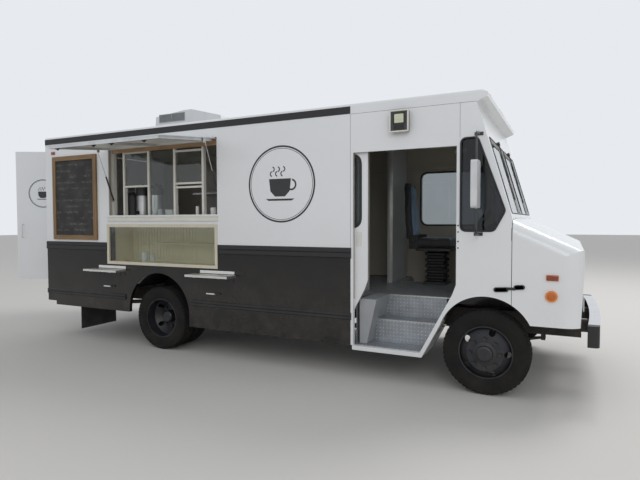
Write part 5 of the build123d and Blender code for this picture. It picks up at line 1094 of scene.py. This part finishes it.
def add_ring(bm, x, z, radius, width, y, thick, first=0.0, last=360.0, steps=96):
    angles = [math.radians(first + (last - first) * k / steps) for k in range(steps + 1)]
    inner = radius - width
    for a, b in zip(angles, angles[1:]):
        corners = ((radius, a), (radius, b), (inner, b), (inner, a))
        add_flat(bm, [(x + r * math.cos(t), z + r * math.sin(t)) for r, t in corners], y, thick)


def cup_sign(name, body, x, z, size, y, out, turn=None):
    bm = bmesh.new()
    add_ring(bm, x, z, size, size * 0.045, y, out)
    add_ring(bm, x, z, size * 0.93, size * 0.012, y, out)
    cup = [(-0.36, 0.14), (0.30, 0.14), (0.26, -0.18), (0.12, -0.32), (-0.18, -0.32), (-0.32, -0.18)]
    add_flat(bm, [(x + u * size, z + v * size) for u, v in cup], y, out)
    add_flat(bm, [(x + u * size, z + v * size) for u, v in
                  ((-0.46, -0.38), (0.40, -0.38), (0.32, -0.43), (-0.38, -0.43))], y, out)
    add_ring(bm, x + size * 0.31, z - size * 0.02, size * 0.15, size * 0.045, y, out, -110, 80, 24)
    for k in (-1, 0, 1):
        steam = x + (k * 0.16 - 0.10) * size
        for up, first in ((0.27, 100), (0.39, -80)):
            add_ring(bm, steam, z + up * size, size * 0.075, size * 0.03, y, out, first, first + 160, 12)
    if turn:
        bm.transform(turn)
    return settle(name, bm, body, cut_film)


cut_film = film_black_finish()
cup_sign("side_cup_sign", "body", -2200, 2070, 430, -1200.2, -1.0)
REAR_HINGE, REAR_DOOR_TURN = (-6196, -800), 30
swung = Matrix.Translation(at(*REAR_HINGE, 0)) @ Matrix.Rotation(math.radians(REAR_DOOR_TURN), 4, "Z")
swung = swung @ Matrix.Translation(-at(0, 0, 0))
cup_sign("door_cup_sign", "rear_door_right", -400, 2090, 215, 15.6, -1.0, swung)
print("cup signs on the side and on the open rear door")

# %% [markdown]
# ## Roof unit
# The air conditioner's side has a louvred panel over its rear half. Slats in a frame, each leaned a little,
# give it depth that a stripe pattern can't.

# %% Louvres
UNIT_SIDE_Y, SLAT_LEAN = 352, 30
LOUVRE_FRAME = (((-4785, -4300), (3112, 3120)), ((-4785, -4300), (3226, 3234)),
                ((-4785, -4777), (3120, 3226)), ((-4308, -4300), (3120, 3226)),
                ((-4546, -4540), (3120, 3226)))
louvre_grey = cream_trim("louvre_grey", (0.36, 0.37, 0.38))
bm = bmesh.new()
for side in (RIGHT, LEFT):
    y0 = side * UNIT_SIDE_Y
    add_frame(bm, LOUVRE_FRAME, y0 - 5, y0 + 5)
    for slat in range(13):
        z = 3124 + slat * 8
        lean = Matrix.Rotation(math.radians(side * SLAT_LEAN), 4, "X")
        add_bar(bm, (-4777, y0 - 6, z), (-4308, y0 + 6, z + 2.2), lean)
settle("unit_louvres", bm, "body", louvre_grey)
bm = bmesh.new()
for side in (RIGHT, LEFT):
    add_bar(bm, (-4830, side * 350 - 3, 3062), (-3700, side * 350 + 3, 3070))
    for x in (-4820, -4250, -3800):
        add_disc(bm, (x, side * 350, 2960), (0, side, 0), 8, 4, 0.7, 12)
add_bar(bm, (-4884, -300, 2960), (-4878, 300, 2975))
for slot in range(9):
    add_bar(bm, (-4887, -260 + slot * 60, 2990), (-4868, -220 + slot * 60, 3120))
settle("unit_trim", bm, "body", louvre_grey, 1)
print("louvres on the roof unit")

# %% [markdown]
# ## Fold shelves and hatch fittings
# Each fold shelf has two flat white clips under its edge and a rail above its hinge, and a small slide
# latch sits below it on the side. The clips are thin, because the shelf folds flat against the side.
# The hatch has dark clips on its free edge that catch it when it is shut.

# %% Shelf feet and latches
SHELVES = {"rear": (-5172, -4560), "front": (-3418, -2800)}
for word, (x0, x1) in SHELVES.items():
    bm = bmesh.new()
    for x in (x0 + 130, x1 - 130):
        add_bar(bm, (x - 16, -1400, 991), (x + 16, -1330, 995.7))
    settle(f"shelf_feet_{word}", bm, f"fold_shelf_{word}", clean_white_plastic, 1)
    bm = bmesh.new()
    middle = (x0 + x1) / 2
    add_bar(bm, (middle - 150, -1212, 770), (middle - 10, -1200, 786))
    add_bar(bm, (x0 + 70, -1212, 1026), (x1 - 40, -1200.4, 1062))
    settle(f"shelf_latch_plate_{word}", bm, "body", clean_white_plastic, 3)
    bm = bmesh.new()
    add_bar(bm, (middle - 20, -1218, 774), (middle + 60, -1200, 796))
    add_disc(bm, (middle + 20, -1218, 785), (0, -1, 0), 9, 8, 0.8)
    settle(f"shelf_latch_knob_{word}", bm, "body", black_plastic, 3)
print("shelf feet and latches")

# %% [markdown]
# The hatch is lined in cream between its bars and painted white outside. Its pieces are drawn as if it were
# shut, and then turned with it about its pin. Small dark catches sit on its free edge.

# %% Hatch lining
HATCH_PIN, HATCH_OPEN = (-1210, 2660), 84
raised = Matrix.Translation(at(0, *HATCH_PIN)) @ Matrix.Rotation(math.radians(-HATCH_OPEN), 4, "X")
raised = raised @ Matrix.Translation(-at(0, *HATCH_PIN))
HATCH_X, HATCH_Z = (-4895, -3090), (1745, 2655)
middle = sum(HATCH_X) / 2
bm = bmesh.new()
for x0, x1 in ((HATCH_X[0] + 92, middle - 27), (middle + 27, HATCH_X[1] - 92)):
    add_bar(bm, (x0, -1189.6, HATCH_Z[0] + 58), (x1, -1186, HATCH_Z[1] - 58))
bm.transform(raised)
settle("hatch_lining", bm, "serving_hatch", window_cream)
bm = bmesh.new()
for x in (HATCH_X[0] + 180, middle - 120, middle + 160, HATCH_X[1] - 260):
    add_bar(bm, (x - 22, -1161, HATCH_Z[0] + 12), (x + 22, -1150, HATCH_Z[0] + 44))
    add_bar(bm, (x - 9, -1150, HATCH_Z[0] + 18), (x + 9, -1138, HATCH_Z[0] + 36))
bm.transform(raised)
settle("hatch_catches", bm, "serving_hatch", black_plastic, 2)
bm = bmesh.new()
add_bar(bm, (HATCH_X[0] + 2, -1201, HATCH_Z[0] + 2), (HATCH_X[1] - 2, -1200.2, HATCH_Z[1] - 2))
bm.transform(raised)
settle("hatch_outer_paint", bm, "serving_hatch", white_enamel)
print("hatch lined and painted")

# %% [markdown]
# ## Hood latch, door screws and panel seams
# A black rubber strap holds the hood shut on each side, between two oval pads. Small black screws line the
# doorway's front edge, and thin dark seams show where the roof cap and the cab panel meet the sides.

# %% Hood latches
for side, word in SIDES:
    bm = bmesh.new()
    for k in range(9):
        t = k / 8
        add_disc(bm, (98 + t * 88, side * SIDE_Y, 1016 + t * 6), (0, side, 0), 23, 17, 0.82, 20)
    y0, y1 = sorted((side * (SIDE_Y + 3), side * (SIDE_Y + 8)))
    add_bar(bm, (180, y0, 1020), (266, y1, 1044))
    settle(f"hood_strap_pad_{word}", bm, "body", black_rubber)
    bm = bmesh.new()
    for k in range(7):
        add_disc(bm, (272 + k * 9, side * SIDE_Y, 1046 + k * 0.7), (0, side, 0), 22, 17, 0.82, 20)
    settle(f"hood_strap_hook_{word}", bm, "hood", black_rubber)
print("hood latches")

# %% [markdown]
# A screw is a low black disc, and a seam is a bar that stands about half a millimetre proud of the paint.
# A real seam is a gap, but the CAD mesh stays as it is, and at this width a dark line looks the same.

# %% Screws and seams
bm = bmesh.new()
for side in (RIGHT, LEFT):
    for z in (1395, 1457, 1548, 1609):
        add_disc(bm, (-251, side * SIDE_Y, z), (0, side, 0), 8, 3, 0.7, 12)
settle("doorway_screws", bm, "body", black_plastic)
bm = bmesh.new()
for side in (RIGHT, LEFT):
    y0, y1 = sorted((side * (SIDE_Y - 1), side * (SIDE_Y + 0.6)))
    add_bar(bm, (-1356, y0, 2764), (-90, y1, 2766.5))
    add_bar(bm, (-240, y0, 2440), (-237.5, y1, 2764))
    add_bar(bm, (-1361, y0, 348), (-1358.5, y1, 2764))
    add_bar(bm, (229.5, y0, 1040), (233, y1, 1560))
    add_bar(bm, (227, y0, 1470), (235, y1, 1590))
settle("panel_seams", bm, "body", chassis_black)
print("screws and seams")

# %% [markdown]
# ## Cab doors
# Each door's window sits close under the door's top edge and near its front edge, with a flat black seal
# round it. The door is one cut sheet, so it is made as a filled curve with a hole and given its thickness.
# It keeps the drawing's outline, hangers and grip, and takes the plain door's place.

# %% Cut sheets
def cut_sheet(outline, holes, y0, y1):
    curve = bpy.data.curves.new("cut_sheet", "CURVE")
    curve.dimensions = "2D"
    curve.fill_mode = "BOTH"
    curve.extrude = (y1 - y0) / 2000
    for loop in (outline, *holes):
        line = curve.splines.new("POLY")
        line.points.add(len(loop) - 1)
        for knot, (x, z) in zip(line.points, loop):
            knot.co = (x / 1000, z / 1000, 0, 1)
        line.use_cyclic_u = True
    shape = bpy.data.objects.new("cut_sheet", curve)
    mesh = bpy.data.meshes.new_from_object(shape)
    upright = Matrix(((1, 0, 0, 0), (0, 0, 1, 0), (0, 1, 0, 0), (0, 0, 0, 1)))
    mesh.transform(Matrix.Translation(at(0, (y0 + y1) / 2, 0)) @ upright)
    bm = bmesh.new()
    bm.from_mesh(mesh)
    bmesh.ops.remove_doubles(bm, verts=bm.verts, dist=0.00001)
    bpy.data.objects.remove(shape)
    bpy.data.meshes.remove(mesh)
    return bm


DOOR_EDGE = ((-1342, 356), (-600, 356), (-293, 938), (-256, 1038), (-256, 2377), (-1342, 2377))
WINDOW = (-1225, -345, 1600, 2335)
DOOR_MID_Y, DOOR_OPEN = 1131, -929


def window_loop(grow, radius):
    x0, x1, z0, z1 = WINDOW
    corners = [(x0 - grow, z0 - grow, 0), (x1 + grow, z0 - grow, 0), (x1 + grow, z1 + grow, 0),
               (x0 - grow, z1 + grow, 0)]
    return [(p[0], p[1]) for p in rounded_loop(corners, radius, 8)]


print("door outline of", len(DOOR_EDGE), "corners")

# %% [markdown]
# Each door is built shut, from its leaf, its pane, a seal on both faces, a grip and a lock plate, and the
# right one is then slid back to where it stands open. All its pieces ride on the door's body, so they
# move as one.

# %% Doors, seals and grips
GRIP_LINE = ((1114, 1330), (1082, 1330), (1074, 1338), (1074, 1552), (1082, 1560), (1114, 1560))
for side, word in SIDES:
    shift = DOOR_OPEN if side == RIGHT else 0
    slide = Matrix.Translation((shift / 1000, 0, 0))
    y0, y1 = sorted((side * 1112, side * 1150))
    bm = cut_sheet(DOOR_EDGE, [window_loop(0, 95)], y0, y1)
    for x in (-1180, -418):
        add_bar(bm, (x - 30, side * DOOR_MID_Y - 4, 2376), (x + 30, side * DOOR_MID_Y + 4, 2391))
        add_bar(bm, (x - 30, side * DOOR_MID_Y - 11, 2391), (x + 30, side * DOOR_MID_Y + 11, 2410))
    bm.transform(slide)
    door = settle(f"door_leaf_{word}", bm, f"cab_door_{word}", door_enamel, 2)
    bm = cut_sheet(window_loop(-1, 95), [], side * DOOR_MID_Y - 3, side * DOOR_MID_Y + 3)
    bm.transform(slide)
    pane = settle(f"door_pane_{word}", bm, f"cab_door_{word}", door_glass)
    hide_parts(f"cab_door_glass_{word}")
    bm = cut_sheet(window_loop(24, 119), [window_loop(-5, 90)], side * 1151.5 - 1.5, side * 1151.5 + 1.5)
    bm.transform(slide)
    outer = settle(f"door_seal_out_{word}", bm, f"cab_door_{word}", black_rubber)
    bm = cut_sheet(window_loop(18, 113), [window_loop(-5, 90)], side * 1111 - 1, side * 1111 + 1)
    bm.transform(slide)
    inner = settle(f"door_seal_in_{word}", bm, f"cab_door_{word}", black_rubber)
    grip = seal(f"door_grip_{word}", [(-328 + shift, side * y, z) for y, z in GRIP_LINE], 8,
                f"cab_door_{word}", rod_steel, closed=False)
    bm = bmesh.new()
    add_bar(bm, (-382, side * 1151.5 - 1.5, 1388), (-324, side * 1151.5 + 1.5, 1540))
    add_bar(bm, (-372, side * 1152 - 2.4, 1470), (-334, side * 1152 + 2.4, 1528))
    bm.transform(slide)
    handle = settle(f"door_handle_{word}", bm, f"cab_door_{word}", shelf_aluminium)
    for piece in (door, outer, inner, grip, handle):
        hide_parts(f"cab_door_{word}")
print("cab doors")

# %% [markdown]
# ## Cab interior
# The well beside the open door shows bright edges on the treads, a beige box at its rear end, and a ribbed
# aluminium post where the bulkhead's doorway ends. A small dome lamp sits on the lining over the far door.

# %% Steps and bulkhead post
def add_prism(bm, points, y0, y1):
    near = [bm.verts.new(at(x, y0, z)) for x, z in points]
    far = [bm.verts.new(at(x, y1, z)) for x, z in points]
    bm.faces.new(near)
    bm.faces.new(list(reversed(far)))
    for i in range(len(points)):
        j = (i + 1) % len(points)
        bm.faces.new((near[j], near[i], far[i], far[j]))


bm = bmesh.new()
add_prism(bm, [(-1300, 352), (-1215, 352), (-1110, 828), (-1300, 828)], -1095, -906)
add_prism(bm, [(-1300, 596), (-1162, 596), (-1110, 828), (-1300, 828)], -906, -660)
settle("step_well_box", bm, "body", louvre_grey, 5)
bm = bmesh.new()
for y, z, x0 in ((-651, 828, -1105), (-901, 589, -1160)):
    add_bar(bm, (x0, y - 5, z - 10), (-420, y + 14, z + 4))
settle("step_nosings", bm, "body", shelf_aluminium, 2)
bm = bmesh.new()
for k in range(4):
    add_bar(bm, (-1438, 318 + k * 16, 832), (-1418 + 7 * (k % 2), 330 + k * 16, 2800))
add_bar(bm, (-1440, 312, 832), (-1430, 384, 2800))
settle("bulkhead_post", bm, "body", shelf_aluminium, 2)
bm = bmesh.new()
add_bar(bm, (-760, 1136, 2600), (-600, 1150, 2660))
add_bar(bm, (-745, 1122, 2610), (-615, 1138, 2650))
settle("dome_lamp", bm, "body", window_cream, 6)
print("steps, post, dome lamp")

# %% [markdown]
# ## Driver's seat
# The seat is a sprung truck seat: a pedestal with a bellows, a deep cushion, and a tall back that narrows
# to a head rest. It stands high, for a clear view over the dash. Foam under cloth bulges between its seams.
# A cloth simulation with pressure gives that bulge better than sculpting, so each pad starts as a plain
# closed form, is remeshed evenly, and swells.

# %% Cloth weave
group, ins, outs = new_group(
    "Cloth Weave", [("Place", "Vector", None), ("Threads", "Float", 900.0)], ["Height", "Patch"])
parts = group.nodes.new("ShaderNodeSeparateXYZ")
group.links.new(ins["Place"], parts.inputs[0])
over = math_node(group, "SINE", math_node(group, "MULTIPLY", parts.outputs["Y"], ins["Threads"]))
under = math_node(group, "SINE", math_node(group, "MULTIPLY", parts.outputs["Z"], ins["Threads"]))
group.links.new(math_node(group, "MULTIPLY", over, under), outs["Height"])
group.links.new(ramp(group, noise(group, ins["Place"], 14.0, 7.0, 0.65), 0.3, 0.7), outs["Patch"])


def seat_cloth(name, color, threads, roughness):
    made, tree, shader, place = new_finish(name, color, roughness, Sheen_Weight=0.25)
    woven = use(tree, "Cloth Weave", Place=place, Threads=threads)
    tree.links.new(blend_color(tree, woven["Patch"], color, tuple(c * 0.72 for c in color)),
                   shader.inputs["Base Color"])
    tree.links.new(math_node(tree, "MULTIPLY_ADD", woven["Patch"], 0.12, roughness - 0.06),
                   shader.inputs["Roughness"])
    raise_surface(tree, shader, woven["Height"], 0.0012, 0.5)
    return made


blue_cloth = seat_cloth("blue_cloth", (0.16, 0.25, 0.36), 1100.0, 0.85)
black_vinyl = seat_cloth("black_vinyl", (0.020, 0.020, 0.022), 500.0, 0.5)
print("seat cloths")

# %% [markdown]
# Each pad is first remeshed into even squares, because cloth moves badly on long thin faces. Twenty frames
# under pressure swell it. The move of each point is then cut off at a cap, so that no pad grows into its
# neighbour.

# %% Swelling a pad
def swell(piece, voxel, pressure, cap, steps=20):
    even = piece.modifiers.new("even_mesh", "REMESH")
    even.mode = "VOXEL"
    even.voxel_size = voxel
    bpy.context.view_layer.update()
    ready = piece.evaluated_get(bpy.context.evaluated_depsgraph_get())
    piece.data = bpy.data.meshes.new_from_object(ready)
    piece.modifiers.clear()
    start = np.array([v.co[:] for v in piece.data.vertices])
    cloth = piece.modifiers.new("foam", "CLOTH")
    cloth.settings.use_pressure = True
    cloth.settings.uniform_pressure_force = pressure
    cloth.settings.effector_weights.gravity = 0
    for frame_number in range(1, steps + 1):
        bpy.context.scene.frame_set(frame_number)
    swollen = piece.evaluated_get(bpy.context.evaluated_depsgraph_get()).data
    move = np.array([v.co[:] for v in swollen.vertices]) - start
    length = np.maximum(np.linalg.norm(move, axis=1, keepdims=True), 1e-9)
    move *= np.minimum(1.0, cap / length)
    piece.modifiers.clear()
    bpy.context.scene.frame_set(1)
    piece.data.vertices.foreach_set("co", (start + move).ravel())
    print(piece.name, "moved up to", round(float(np.linalg.norm(move, axis=1).max()) * 1000), "mm")
    finer = piece.modifiers.new("finer", "SUBSURF")
    finer.levels = finer.render_levels = 1
    piece.data.shade_smooth()


SEAT_X, SEAT_Y = -860, 560
PAD_VOXEL, PAD_PRESSURE, PAD_FILL = 0.012, 4.0, 0.7


def lean_x(z):
    return -1165 - 70 * (z - 1280) / 920


def back_slab(bm, outline, front, rear):
    rows = []
    for shift in (front, rear):
        rows.append([bm.verts.new(at(lean_x(z) + shift, SEAT_Y + y, z)) for y, z in outline])
    bm.faces.new(rows[0])
    bm.faces.new(list(reversed(rows[1])))
    for i in range(len(outline)):
        j = (i + 1) % len(outline)
        bm.faces.new((rows[0][j], rows[0][i], rows[1][i], rows[1][j]))


SHELL = ((-212, 1400), (212, 1400), (218, 1650), (205, 1850), (158, 1950), (148, 2110), (105, 2172),
         (-105, 2172), (-148, 2110), (-158, 1950), (-205, 1850), (-218, 1650))
PANEL = ((-165, 1440), (165, 1440), (172, 1650), (158, 1830), (124, 1930), (114, 2085), (78, 2132),
         (-78, 2132), (-114, 2085), (-124, 1930), (-158, 1830), (-172, 1650))
bm = bmesh.new()
back_slab(bm, SHELL, 14, -44)
shell = settle("seat_back_shell", bm, "body", black_vinyl)
bm = bmesh.new()
back_slab(bm, PANEL, 42, 10)
panel = settle("seat_back_panel", bm, "body", blue_cloth)
bm = bmesh.new()
add_bar(bm, (-1095, SEAT_Y - 218, 1328), (-628, SEAT_Y + 218, 1412))
cushion = settle("seat_cushion", bm, "body", black_vinyl)
bm = bmesh.new()
add_bar(bm, (-1060, SEAT_Y - 150, 1406), (-650, SEAT_Y + 150, 1428))
cushion_top = settle("seat_cushion_top", bm, "body", blue_cloth)
for pad, cap in ((shell, 0.018), (panel, 0.022), (cushion, 0.022), (cushion_top, 0.012)):
    swell(pad, PAD_VOXEL, PAD_PRESSURE, cap)

# %% [markdown]
# The hard parts of the seat come last: the pedestal with its rubber bellows, the pan under the cushion, and
# the recliner plates beside it. Piping follows the panel's edge where its two cloths are sewn together.

# %% Seat frame and piping
bm = bmesh.new()
add_bar(bm, (SEAT_X - 150, SEAT_Y - 150, 830), (SEAT_X + 150, SEAT_Y + 150, 862))
add_bar(bm, (SEAT_X - 235, SEAT_Y - 215, 1268), (SEAT_X + 225, SEAT_Y + 215, 1302))
for side in (RIGHT, LEFT):
    add_bar(bm, (-1180, SEAT_Y + side * 226 - 7, 1290), (-1060, SEAT_Y + side * 226 + 7, 1470))
    add_disc(bm, (-1130, SEAT_Y + side * 233, 1400), (0, side, 0), 34, 9, 0.85)
pedestal = settle("seat_frame", bm, "body", black_plastic, 4)
bm = bmesh.new()
for fold in range(11):
    half = 132 if fold % 2 else 110
    z = 862 + fold * 38
    add_bar(bm, (SEAT_X - half, SEAT_Y - half, z), (SEAT_X + half, SEAT_Y + half, z + 38))
bellows = settle("seat_bellows", bm, "body", black_rubber, 12)
piping = seal("seat_piping", [(lean_x(z) + 36, SEAT_Y + y, z) for y, z in PANEL], 5, "body", black_vinyl)
for piece in (shell, panel, cushion, cushion_top, pedestal, bellows, piping):
    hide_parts("driver_seat")
print("driver's seat")
